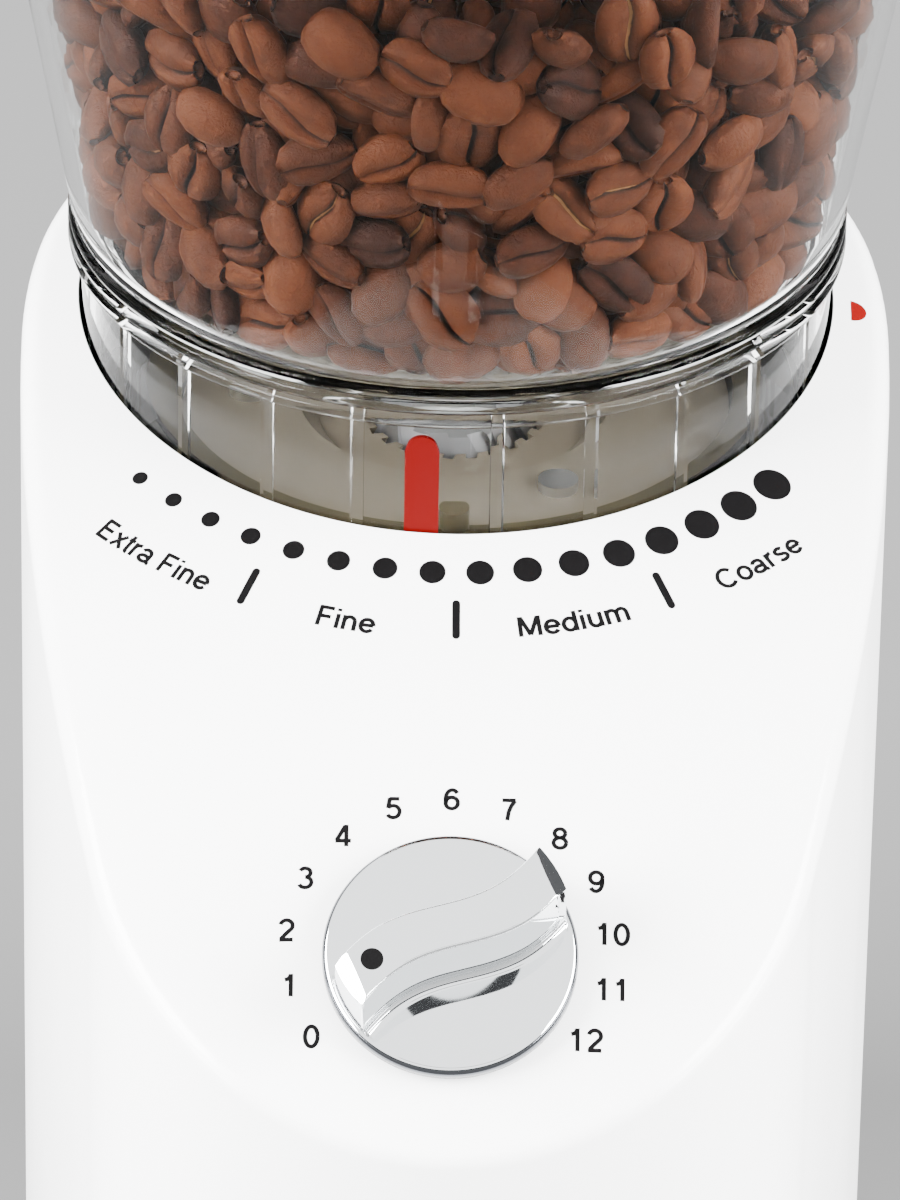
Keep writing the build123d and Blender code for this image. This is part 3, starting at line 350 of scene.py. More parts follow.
class Effects:
    """Shader groups that several finishes share."""

    def __init__(self) -> None:
        """Build every group once."""
        self.grain = self._grain()
        self.film = self._film()
        self.streaks = self._streaks()

    @staticmethod
    def _grain() -> bpy.types.NodeTree:
        """Height of a moulded surface: fine noise plus slow ripples; Size is in millimetres.

        Returns:
            The group.
        """
        group, bench = new_group("moulded_grain", {"Size": 0.3, "Ripple": 0.2}, {"Height": "NodeSocketFloat"})
        inside = bench.add("NodeGroupInput")
        outside = bench.add("NodeGroupOutput")
        place = bench.add("ShaderNodeTexCoord")
        scale = bench.math("DIVIDE", 1000.0, inside.outputs["Size"])
        fine = bench.add("ShaderNodeTexNoise", Detail=3.0, Roughness=0.6)
        bench.link(place.outputs["Object"], fine.inputs["Vector"])
        bench.link(scale, fine.inputs["Scale"])
        slow = bench.add("ShaderNodeTexNoise", Scale=70.0, Detail=1.0)
        bench.link(place.outputs["Object"], slow.inputs["Vector"])
        ripple = bench.math("MULTIPLY", slow.outputs["Fac"], inside.outputs["Ripple"])
        total = bench.math("ADD", fine.outputs["Fac"], ripple)
        bench.link(total, outside.inputs["Height"])
        return group

    @staticmethod
    def _film() -> bpy.types.NodeTree:
        """Mask of dust and finger film: blotches broken by fine specks, times Amount.

        Returns:
            The group.
        """
        group, bench = new_group("dust_and_film", {"Amount": 0.5, "Blotch": 40.0},
                                 {"Mask": "NodeSocketFloat", "Speck": "NodeSocketFloat"})
        inside = bench.add("NodeGroupInput")
        outside = bench.add("NodeGroupOutput")
        place = bench.add("ShaderNodeTexCoord")
        blotch = bench.add("ShaderNodeTexNoise", Detail=4.0, Roughness=0.65)
        bench.link(place.outputs["Object"], blotch.inputs["Vector"])
        bench.link(inside.outputs["Blotch"], blotch.inputs["Scale"])
        wide = bench.ramp(blotch.outputs["Fac"], 0.45, 0.75)
        specks = bench.add("ShaderNodeTexNoise", Scale=2600.0, Detail=1.0)
        bench.link(place.outputs["Object"], specks.inputs["Vector"])
        fine = bench.ramp(specks.outputs["Fac"], 0.66, 0.74)
        bench.link(bench.math("MULTIPLY", wide, inside.outputs["Amount"]), outside.inputs["Mask"])
        bench.link(bench.math("MULTIPLY", fine, inside.outputs["Amount"]), outside.inputs["Speck"])
        return group

    @staticmethod
    def _streaks() -> bpy.types.NodeTree:
        """Fine lines round an upright axis, as turning leaves them on metal.

        Returns:
            The group.
        """
        group, bench = new_group("turned_streaks", {"Fineness": 900.0}, {"Height": "NodeSocketFloat"})
        inside = bench.add("NodeGroupInput")
        outside = bench.add("NodeGroupOutput")
        place = bench.add("ShaderNodeTexCoord")
        squeeze = bench.add("ShaderNodeMapping")
        squeeze.inputs["Scale"].default_value = (0.04, 0.04, 1.0)
        bench.link(place.outputs["Object"], squeeze.inputs["Vector"])
        lines = bench.add("ShaderNodeTexNoise", Detail=2.0, Roughness=0.7)
        bench.link(squeeze.outputs["Vector"], lines.inputs["Vector"])
        bench.link(inside.outputs["Fineness"], lines.inputs["Scale"])
        bench.link(lines.outputs["Fac"], outside.inputs["Height"])
        return group


EFFECTS = Effects()


def place_group(bench: Bench, group: bpy.types.NodeTree, **values: float) -> bpy.types.Node:
    """Put a shared group in a material with its own values.

    Args:
        bench: Bench of the material.
        group: The shared group.
        values: Its input values by name.

    Returns:
        Its node.
    """
    node = bench.tree.nodes.new("ShaderNodeGroup")
    node.node_tree = group
    for key, value in values.items():
        node.inputs[key].default_value = value
    return node


def start_material(name: str) -> tuple[bpy.types.Material, Bench, bpy.types.Node]:
    """Make a material with a Principled shader and return it with its bench and shader node.

    Args:
        name: Name of the material.

    Returns:
        Material, bench and Principled shader.
    """
    material = bpy.data.materials.new(name)
    material.use_nodes = True
    bench = Bench(material.node_tree)
    return material, bench, material.node_tree.nodes["Principled BSDF"]


def bump_from(bench: Bench, shader: bpy.types.Node, height: bpy.types.NodeSocket,
              depth_mm: float, strength: float = 1.0) -> None:
    """Feed a height into the shader's normal through a Bump node; depth_mm is the full height's size.

    Args:
        bench: Bench of the material.
        shader: Its Principled shader.
        height: Height socket.
        depth_mm: Depth of the full height in millimetres.
        strength: Strength of the bump.
    """
    bump = bench.add("ShaderNodeBump", Strength=strength, Distance=depth_mm * MM)
    bench.link(height, bump.inputs["Height"])
    bench.link(bump.outputs["Normal"], shader.inputs["Normal"])


# ---------------------------------------------------------------- finishes
@dataclass(frozen=True)
class Moulded:
    """Opaque moulded plastic or rubber.

    Attributes:
        name: Name of the finish.
        colour: Main colour, linear.
        roughness: Roughness of the clean surface.
        grain_mm: Size of its grain.
        depth_mm: Depth of its grain.
        film: How much dust and finger film it carries.
        coat: Weight of a clear coat.
        shine: Strength of its mirrored light, where 0.5 is plain plastic.
        bore: Radius about the hopper's axis within which the surface is painted black, as painted shade down
            the hole, or zero.
    """

    name: str
    colour: tuple[float, float, float]
    roughness: float
    grain_mm: float = 0.4
    depth_mm: float = 0.01
    film: float = 0.3
    coat: float = 0.0
    shine: float = 0.5
    bore: float = 0.0

    def darken_bore(self, bench: Bench, colour: bpy.types.NodeSocket) -> bpy.types.NodeSocket:
        """Painted shade: black on everything nearer to the hopper's axis than the bore, standing in for the
        shade down the hopper's hole.

        Args:
            bench: Bench of the material.
            colour: Colour elsewhere.

        Returns:
            The darkened colour.
        """
        place = bench.add("ShaderNodeTexCoord")
        axle = (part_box("hopper_bowl")[0].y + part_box("hopper_bowl")[1].y) / 2
        shift = bench.add("ShaderNodeVectorMath", operation="SUBTRACT")
        bench.link(place.outputs["Object"], shift.inputs[0])
        shift.inputs[1].default_value = (0.0, axle, 0.0)
        flat = bench.add("ShaderNodeVectorMath", operation="MULTIPLY")
        bench.link(shift.outputs["Vector"], flat.inputs[0])
        flat.inputs[1].default_value = (1.0, 1.0, 0.0)
        reach = bench.add("ShaderNodeVectorMath", operation="LENGTH")
        bench.link(flat.outputs["Vector"], reach.inputs[0])
        mask = bench.ramp(reach.outputs["Value"], self.bore, self.bore + 0.08 * MM, 1.0, 0.0)
        # Painted shade: near-black stands in for the shade inside the hole.
        return bench.blend(mask, colour, (0.006, 0.006, 0.0065))

    def build(self) -> bpy.types.Material:
        """Make the material: film lightens dark plastic, dulls the gloss, and grain gives the bump.

        Returns:
            The material.
        """
        material, bench, shader = start_material(self.name)
        film = place_group(bench, EFFECTS.film, Amount=self.film, Blotch=35.0)
        bright = sum(self.colour) / 3
        cover = 0.012 if bright < 0.4 else 0.04
        dusty = tuple(channel + (0.55 - channel) * cover for channel in self.colour)
        soiled = bench.blend(film.outputs["Mask"], self.colour, dusty)
        speck_tint = tuple(channel * (0.93 if bright > 0.4 else 1.0) + (0.006 if bright < 0.4 else 0.0)
                           for channel in self.colour)
        colour = bench.blend(film.outputs["Speck"], soiled, speck_tint)
        # Painted shade inside the hopper's hole, where the white housing would otherwise show.
        if self.bore > 0:
            colour = self.darken_bore(bench, colour)
        bench.link(colour, shader.inputs["Base Color"])
        dull = bench.math("MULTIPLY", film.outputs["Mask"], 0.18)
        bench.link(bench.math("ADD", dull, self.roughness), shader.inputs["Roughness"])
        shader.inputs["Coat Weight"].default_value = self.coat
        shader.inputs["Coat Roughness"].default_value = 0.06
        shader.inputs["IOR"].default_value = 1.5
        shader.inputs["Specular IOR Level"].default_value = self.shine
        grain = place_group(bench, EFFECTS.grain, Size=self.grain_mm, Ripple=0.3)
        bump_from(bench, shader, grain.outputs["Height"], self.depth_mm)
        return material


@dataclass(frozen=True)
class ClearMoulded:
    """Clear or tinted moulded plastic that light goes through.

    Attributes:
        name: Name of the finish.
        colour: Tint, linear.
        roughness: Roughness of the clean surface.
        film: How much finger film it carries.
        shine: Strength of its mirrored light, where 0.5 is that of its refraction.
        bend: Index of refraction.
    """

    name: str
    colour: tuple[float, float, float]
    roughness: float = 0.015
    film: float = 0.2
    shine: float = 0.10
    bend: float = 1.14

    def build(self) -> bpy.types.Material:
        """Make the material: the film only roughens it a little.

        Returns:
            The material.
        """
        material, bench, shader = start_material(self.name)
        shader.inputs["Transmission Weight"].default_value = 1.0
        shader.inputs["IOR"].default_value = self.bend
        shader.inputs["Specular IOR Level"].default_value = self.shine
        film = place_group(bench, EFFECTS.film, Amount=self.film, Blotch=28.0)
        bench.link(bench.blend(film.outputs["Mask"], self.colour, tuple(c * 0.97 for c in self.colour)),
                   shader.inputs["Base Color"])
        dull = bench.math("MULTIPLY", film.outputs["Mask"], 0.05)
        bench.link(bench.math("ADD", dull, self.roughness), shader.inputs["Roughness"])
        grain = place_group(bench, EFFECTS.grain, Size=14.0, Ripple=1.0)
        bump_from(bench, shader, grain.outputs["Height"], 0.03, 0.5)
        return material


@dataclass(frozen=True)
class Metal:
    """Bare or plated metal.

    Attributes:
        name: Name of the finish.
        colour: Reflected colour, linear.
        roughness: Roughness of the clean surface.
        streak_mm: Depth of turning lines, or zero.
        film: How much finger film it carries.
    """

    name: str
    colour: tuple[float, float, float]
    roughness: float
    streak_mm: float = 0.0
    film: float = 0.25

    def build(self) -> bpy.types.Material:
        """Make the material: film dulls and darkens it, and turning lines give the bump.

        Returns:
            The material.
        """
        material, bench, shader = start_material(self.name)
        shader.inputs["Metallic"].default_value = 1.0
        film = place_group(bench, EFFECTS.film, Amount=self.film, Blotch=90.0)
        bench.link(bench.blend(film.outputs["Mask"], self.colour, tuple(c * 0.86 for c in self.colour)),
                   shader.inputs["Base Color"])
        dull = bench.math("MULTIPLY", film.outputs["Mask"], 0.12)
        bench.link(bench.math("ADD", dull, self.roughness), shader.inputs["Roughness"])
        if self.streak_mm > 0:
            lines = place_group(bench, EFFECTS.streaks, Fineness=1500.0)
            bump_from(bench, shader, lines.outputs["Height"], self.streak_mm)
        else:
            grain = place_group(bench, EFFECTS.grain, Size=6.0, Ripple=0.6)
            bump_from(bench, shader, grain.outputs["Height"], 0.004, 0.4)
        return material


@dataclass(frozen=True)
class BeanSkin:
    """Roasted bean: mottled brown skin, with painted shade darkening the crease, and a pale thread of chaff.

    Attributes:
        name: Name of the finish.
        light: Lightest roast.
        dark: Darkest roast.
        crease: Colour deep in the crease, painted shade.
        chaff: Colour of the chaff.
    """

    name: str = "roasted_bean"
    light: tuple[float, float, float] = (0.052, 0.0145, 0.0048)
    dark: tuple[float, float, float] = (0.0085, 0.0024, 0.0010)
    crease: tuple[float, float, float] = (0.003, 0.0012, 0.0008)
    chaff: tuple[float, float, float] = (0.20, 0.10, 0.04)

    def build(self) -> bpy.types.Material:
        """Make the material from the bean's tone and crease attributes and three noises.

        Returns:
            The material.
        """
        material, bench, shader = start_material(self.name)
        tone = bench.add("ShaderNodeAttribute", attribute_name="tone")
        depth = bench.add("ShaderNodeAttribute", attribute_name="crease")
        place = bench.add("ShaderNodeTexCoord")
        patch = bench.add("ShaderNodeTexNoise", Scale=330.0, Detail=5.0, Roughness=0.65)
        speckle = bench.add("ShaderNodeTexNoise", Scale=2800.0, Detail=3.0, Roughness=0.7)
        wrinkle = bench.add("ShaderNodeTexNoise", Scale=700.0, Detail=4.0, Roughness=0.6, Distortion=1.2)
        for noise in (patch, speckle, wrinkle):
            bench.link(place.outputs["Object"], noise.inputs["Vector"])
        mixed = bench.math("ADD", tone.outputs["Fac"], bench.math("MULTIPLY", patch.outputs["Fac"], 0.7))
        roast = bench.blend(bench.ramp(mixed, 0.25, 1.35), self.dark, self.light)
        burnt = bench.ramp(speckle.outputs["Fac"], 0.52, 0.75, 0.0, 0.38)
        skin = bench.blend(burnt, roast, self.dark)
        # Painted shade: the colour darkens towards the crease's bottom; the chaff thread is the bean's own.
        inner = bench.ramp(depth.outputs["Fac"], 0.30, 0.75)
        chaff = bench.add("ShaderNodeAttribute", attribute_name="chaff")
        lots = bench.math("MULTIPLY", bench.ramp(chaff.outputs["Fac"], 0.72, 0.95), 0.42)
        cover = bench.math("ADD", bench.math("MULTIPLY", wrinkle.outputs["Fac"], 0.5), lots)
        thread = bench.ramp(bench.math("ADD", depth.outputs["Fac"], cover), 1.28, 1.44, 0.0, 0.8)
        groove = bench.blend(thread, self.crease, self.chaff)
        bench.link(bench.blend(inner, skin, groove), shader.inputs["Base Color"])
        shader.inputs["Roughness"].default_value = 0.62
        shader.inputs["Specular IOR Level"].default_value = 0.07
        shader.inputs["IOR"].default_value = 1.45
        height = bench.math("ADD", wrinkle.outputs["Fac"],
                            bench.math("MULTIPLY", speckle.outputs["Fac"], 0.35))
        bump_from(bench, shader, height, 0.35, 0.75)
        return material


@dataclass(frozen=True)
class Ink:
    """Printed mark: flat ink with a slightly uneven edge of gloss.

    Attributes:
        name: Name of the finish.
        colour: Ink colour, linear.
    """

    name: str
    colour: tuple[float, float, float]

    def build(self) -> bpy.types.Material:
        """Make the material: fine noise varies the ink's density and gloss.

        Returns:
            The material.
        """
        material, bench, shader = start_material(self.name)
        grain = place_group(bench, EFFECTS.grain, Size=0.25, Ripple=0.2)
        thin = tuple(min(1.0, c * 1.6 + 0.0004) for c in self.colour)
        mask = bench.ramp(grain.outputs["Height"], 0.4, 0.9, 0.0, 0.5)
        bench.link(bench.blend(mask, self.colour, thin), shader.inputs["Base Color"])
        bench.link(bench.math("ADD", bench.math("MULTIPLY", grain.outputs["Height"], 0.15), 0.32),
                   shader.inputs["Roughness"])
        shader.inputs["Specular IOR Level"].default_value = 0.03
        bump_from(bench, shader, grain.outputs["Height"], 0.004)
        return material


WHITE = (0.87, 0.872, 0.875)
FINISHES: dict[Slot, Moulded | ClearMoulded | Metal] = {
    Slot.WHITE: Moulded("white_gloss", WHITE, 0.22, 0.9, 0.004, 0.12, 0.3),
    Slot.DARK: Moulded("black_satin", (0.018, 0.018, 0.02), 0.42, 0.35, 0.02, 0.5),
    Slot.CREAM: Moulded("cream_moulding", (0.60, 0.53, 0.33), 0.45, 0.5, 0.015, 0.4),
    Slot.GREY: Moulded("grey_moulding", (0.12, 0.12, 0.115), 0.48, 0.45, 0.02, 0.45),
    Slot.NYLON: Moulded("natural_nylon", (0.72, 0.70, 0.62), 0.38, 0.6, 0.01, 0.4),
    Slot.BOARD: Moulded("circuit_board", (0.02, 0.13, 0.05), 0.35, 1.6, 0.03, 0.3),
    Slot.RED: Moulded("pointer_red", (0.062, 0.0001, 0.00005), 0.35, 0.5, 0.005, 0.05, shine=0.06),
    Slot.CLEAR: ClearMoulded("clear_moulding", (0.97, 0.975, 0.97)),
    Slot.SMOKE: ClearMoulded("smoke_moulding", (0.30, 0.285, 0.275), 0.04, 0.3),
    Slot.RUBBER: Moulded("soft_rubber", (0.014, 0.014, 0.014), 0.75, 0.3, 0.03, 0.6),
    Slot.SCREW: Metal("plated_screw", (0.62, 0.62, 0.60), 0.28, 0.01),
    Slot.SHAFT: Metal("ground_steel", (0.66, 0.66, 0.66), 0.2, 0.006),
    Slot.CAN: Metal("drawn_steel", (0.50, 0.51, 0.52), 0.34, 0.012, 0.4),
    Slot.BURR: Metal("hard_steel", (0.42, 0.42, 0.43), 0.3, 0.008, 0.4),
    Slot.MAGNET: Moulded("ferrite", (0.045, 0.045, 0.048), 0.6, 0.2, 0.02, 0.4),
    Slot.BRASS: Metal("sintered_bronze", (0.62, 0.42, 0.20), 0.36, 0.012, 0.5),
    Slot.CHROME: Metal("bright_chrome", (0.80, 0.825, 0.84), 0.03, 0.0, 0.10),
}


# Nodes whose look differs from their slot's, all painted shade: the housing's hole is painted black, and the
# parts below it down to the burrs are painted in dim browns for the shade under the hopper.
NODE_FINISHES: dict[str, Moulded] = {
    "housing_shell": Moulded("white_gloss_bored", WHITE, 0.22, 0.9, 0.004, 0.12, 0.3, bore=55.34 * MM),
    # Painted shade: the cream ring and carrier and the steel burr are darkened to dim browns, standing in for
    # the shade in the well.
    "adjust_ring": Moulded("olive_ring", (0.040, 0.032, 0.015), 0.5, 0.45, 0.02, 0.3, shine=0.15),
    "ring_burr": Moulded("burr_grey", (0.13, 0.108, 0.078), 0.5, 0.45, 0.02, 0.3, shine=0.15),
    "burr_carrier": Moulded("cream_carrier", (0.135, 0.115, 0.085), 0.5, 0.45, 0.02, 0.3, shine=0.15),
}
# Painted reflection: dark chrome for the knob's rim, standing in for the dark surroundings it mirrors.
RIM_DARK_REFLECTION = Metal("chrome_rim", (0.10, 0.105, 0.115), 0.12)


# ---------------------------------------------------------------- the sloping top
@dataclass
class Top:
    """The housing's sloping top, worked out from the frame.

    Attributes:
        fall_radius: Its curve from back to front.
        cross_radius: Its curve from side to side.
        crest_from_back: Back of the housing to its highest line.
        bowl_over_crest: Hopper rim over the highest line.
        knob_from_front: Front of the housing to the knob's foot.
    """

    fall_radius: float = 252.6 * MM
    cross_radius: float = 299.0 * MM
    crest_from_back: float = 35.2 * MM
    bowl_over_crest: float = 84.0 * MM
    knob_from_front: float = 22.6 * MM
    crest_y: float = field(init=False)
    crest_z: float = field(init=False)
    axle_y: float = field(init=False)
    knob_y: float = field(init=False)

    def __post_init__(self) -> None:
        """Read the places from the frame's boxes."""
        low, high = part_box("housing_shell")
        bowl_low, bowl_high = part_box("hopper_bowl")
        self.crest_y = high.y - self.crest_from_back
        self.crest_z = bowl_high.z - self.bowl_over_crest
        self.axle_y = (bowl_low.y + bowl_high.y) / 2
        self.knob_y = low.y + self.knob_from_front

    def height(self, x: np.ndarray, y: np.ndarray) -> np.ndarray:
        """Height of the top: the side-to-side arc lessens the radius of the back-to-front arc.

        Args:
            x: X places.
            y: Y places.

        Returns:
            Heights over the table.
        """
        sag = self.cross_radius - np.sqrt(self.cross_radius ** 2 - x ** 2)
        reach = self.fall_radius - sag
        return self.crest_z - self.fall_radius + np.sqrt(reach ** 2 - (y - self.crest_y) ** 2)

    def lay(self, x: np.ndarray, y: np.ndarray, lift: float) -> np.ndarray:
        """Points on the top, lifted straight up by a distance."""
        return np.stack([x, y, self.height(x, y) + lift], axis=-1)

    def polar(self, radius: np.ndarray, degrees: np.ndarray) -> tuple[np.ndarray, np.ndarray]:
        """X and Y of a place round the hopper; degrees run from the front towards +X."""
        turn = np.radians(degrees)
        return radius * np.sin(turn), self.axle_y - radius * np.cos(turn)

    def dial_axes(self) -> tuple[np.ndarray, np.ndarray, np.ndarray]:
        """Foot of the knob, the upward direction in the dial's plane, and the plane's normal.

        Returns:
            Foot, upward axis and normal.
        """
        tilt = math.asin((self.knob_y - self.crest_y) / self.fall_radius)
        normal = np.array([0.0, math.sin(tilt), math.cos(tilt)])
        upward = np.array([0.0, math.cos(tilt), -math.sin(tilt)])
        foot = np.array([0.0, self.knob_y, self.crest_z - self.fall_radius * (1 - math.cos(tilt))])
        return foot, upward, normal

    def press(self, across: np.ndarray, upward: np.ndarray, lift: float) -> np.ndarray:
        """Points given in the dial's own axes, brought down onto the curved top along the normal.

        Args:
            across: Places across the dial.
            upward: Places up the slope.
            lift: How far above the top they end.

        Returns:
            Points on the top.
        """
        out = np.zeros(len(across))
        for _ in range(4):
            points = self.dial_point(across, upward, out)
            out = out - (points[:, 2] - self.height(points[:, 0], points[:, 1])) * self.dial_axes()[2][2]
        return self.dial_point(across, upward, out + lift)

    def dial_point(self, across: np.ndarray, upward: np.ndarray, out: np.ndarray) -> np.ndarray:
        """Points given in the dial's own axes: across, up the slope, and out along the normal.

        Args:
            across: Places across.
            upward: Places up the slope.
            out: Distances along the normal.

        Returns:
            Points.
        """
        foot, up_axis, normal = self.dial_axes()
        across_axis = np.array([1.0, 0.0, 0.0])
        return (foot + np.asarray(across)[..., None] * across_axis
                + np.asarray(upward)[..., None] * up_axis + np.asarray(out)[..., None] * normal)


# ---------------------------------------------------------------- printed marks
Stroke = list[tuple[float, float]]


def bow(x: float, y: float, wide: float, high: float, start: float, end: float) -> Stroke:
    """Points on an ellipse about (x, y), from start to end degrees, anticlockwise from the right."""
    angle = np.radians(np.linspace(start, end, max(6, int(abs(end - start) / 12))))
    return list(zip(x + wide * np.cos(angle), y + high * np.sin(angle)))


# Each letter: its advance, then the middle lines of its strokes, in units of a capital's height.
LETTERS: dict[str, tuple[float, list[Stroke]]] = {
    "0": (0.77, [bow(0.385, 0.5, 0.265, 0.44, 0, 360)]),
    "1": (0.77, [[(0.43, 0), (0.43, 1)], [(0.17, 0.74), (0.28, 0.765), (0.37, 0.83), (0.41, 0.94)]]),
    "2": (0.77, [bow(0.385, 0.69, 0.255, 0.25, 168, -32) + [(0.36, 0.32), (0.15, 0.09)],
                 [(0.09, 0.06), (0.66, 0.06)]]),
    "3": (0.77, [bow(0.37, 0.735, 0.225, 0.205, 155, -90), bow(0.37, 0.3, 0.265, 0.24, 90, -158)]),
    "4": (0.77, [[(0.51, 0), (0.51, 1)], [(0.47, 0.95), (0.10, 0.28)], [(0.05, 0.26), (0.71, 0.26)]]),
    "5": (0.77, [[(0.64, 0.94), (0.22, 0.94)], [(0.24, 0.98), (0.17, 0.5)],
                 bow(0.385, 0.34, 0.27, 0.28, 143, -152)]),
    "6": (0.77, [bow(0.395, 0.325, 0.26, 0.265, 0, 360), bow(0.415, 0.5, 0.28, 0.44, 40, 205)]),
    "7": (0.77, [[(0.10, 0.94), (0.67, 0.94)], [(0.64, 0.92), (0.49, 0.7), (0.37, 0.4), (0.31, 0)]]),
    "8": (0.77, [bow(0.385, 0.735, 0.225, 0.205, 0, 360), bow(0.385, 0.29, 0.265, 0.235, 0, 360)]),
    "9": (0.77, [bow(0.375, 0.675, 0.26, 0.265, 0, 360), bow(0.355, 0.5, 0.28, 0.44, 220, 385)]),
    "E": (0.86, [[(0.16, 0), (0.16, 1)], [(0.1, 0.94), (0.74, 0.94)], [(0.16, 0.52), (0.69, 0.52)],
                 [(0.1, 0.06), (0.76, 0.06)]]),
    "F": (0.80, [[(0.16, 0), (0.16, 1)], [(0.1, 0.94), (0.72, 0.94)], [(0.16, 0.5), (0.64, 0.5)]]),
    "M": (1.10, [[(0.16, 0), (0.16, 1)], [(0.19, 0.97), (0.55, 0.06)], [(0.55, 0.06), (0.91, 0.97)],
                 [(0.94, 1), (0.94, 0)]]),
    "C": (0.98, [bow(0.52, 0.5, 0.38, 0.44, 40, 320)]),
    "x": (0.66, [[(0.08, 0), (0.58, 0.73)], [(0.58, 0), (0.08, 0.73)]]),
    "t": (0.38, [[(0.2, 0.94)] + bow(0.31, 0.16, 0.11, 0.11, 180, 280), [(0.05, 0.68), (0.37, 0.68)]]),
    "r": (0.46, [[(0.14, 0), (0.14, 0.73)], bow(0.38, 0.42, 0.24, 0.255, 178, 82)]),
    "a": (0.74, [bow(0.34, 0.48, 0.22, 0.19, 162, 0) + [(0.56, 0.14), (0.62, 0.05), (0.7, 0.05)],
                 bow(0.33, 0.21, 0.23, 0.155, 40, 350)]),
    "i": (0.30, [[(0.15, 0), (0.15, 0.73)], [(0.15, 0.87), (0.15, 1)]]),
    "n": (0.75, [[(0.14, 0), (0.14, 0.73)], bow(0.365, 0.43, 0.225, 0.24, 180, 0) + [(0.59, 0)]]),
    "e": (0.74, [bow(0.37, 0.365, 0.27, 0.305, 0, 325), [(0.1, 0.375), (0.64, 0.375)]]),
    "d": (0.76, [bow(0.36, 0.365, 0.25, 0.305, 0, 360), [(0.61, 0), (0.61, 1)]]),
    "u": (0.75, [[(0.15, 0.73)] + bow(0.375, 0.3, 0.225, 0.24, 180, 360), [(0.6, 0.73), (0.6, 0)]]),
    "m": (1.12, [[(0.14, 0), (0.14, 0.73)], bow(0.345, 0.45, 0.205, 0.22, 180, 0) + [(0.55, 0)],
                 bow(0.755, 0.45, 0.205, 0.22, 180, 0) + [(0.96, 0)]]),
    "o": (0.75, [bow(0.375, 0.365, 0.27, 0.305, 0, 360)]),
    "s": (0.68, [bow(0.34, 0.525, 0.2, 0.145, 35, 235) + bow(0.34, 0.205, 0.225, 0.15, 60, -150)]),
    " ": (0.34, []),
}
STROKE = 0.185  # width of every stroke, in the same units


def glyph_mesh(words: str, cap_height: float) -> tuple[np.ndarray, np.ndarray]:
    """Flat ribbons along the middle lines of a line of letters.

    Args:
        words: The text.
        cap_height: Height of its capitals in metres.

    Returns:
        Points as (along, up) from the start of the baseline, and the faces.
    """
    points, faces, count, start = [], [], 0, 0.0
    for letter in words:
        advance, strokes = LETTERS[letter]
        for stroke in strokes:
            line = np.array(stroke, float) + np.array([start, 0.0])
            way = np.gradient(line, axis=0)
            way /= np.linalg.norm(way, axis=1, keepdims=True)
            side = np.stack([-way[:, 1], way[:, 0]], axis=1) * STROKE / 2
            points.append(np.concatenate([line + side, line - side]))
            number = np.arange(len(line) - 1) + count
            faces.append(np.stack([number, number + len(line), number + len(line) + 1, number + 1], axis=1))
            count += 2 * len(line)
        start += advance
    return np.concatenate(points) * cap_height, np.concatenate(faces)


@dataclass
class Sheet:
    """Marks gathered into one mesh.

    Attributes:
        points: Point arrays of the marks.
        faces: Face arrays, numbered over all the marks.
        count: Points so far.
    """

    points: list[np.ndarray] = field(default_factory=list)
    faces: list[np.ndarray] = field(default_factory=list)
    count: int = 0

    def add(self, points: np.ndarray, *faces: np.ndarray) -> None:
        """Add one mark, its faces numbered on from the points already there.

        Args:
            points: Its points.
            faces: Its face arrays, numbered from 0.
        """
        self.points.append(points)
        self.faces += [part + self.count for part in faces]
        self.count += len(points)


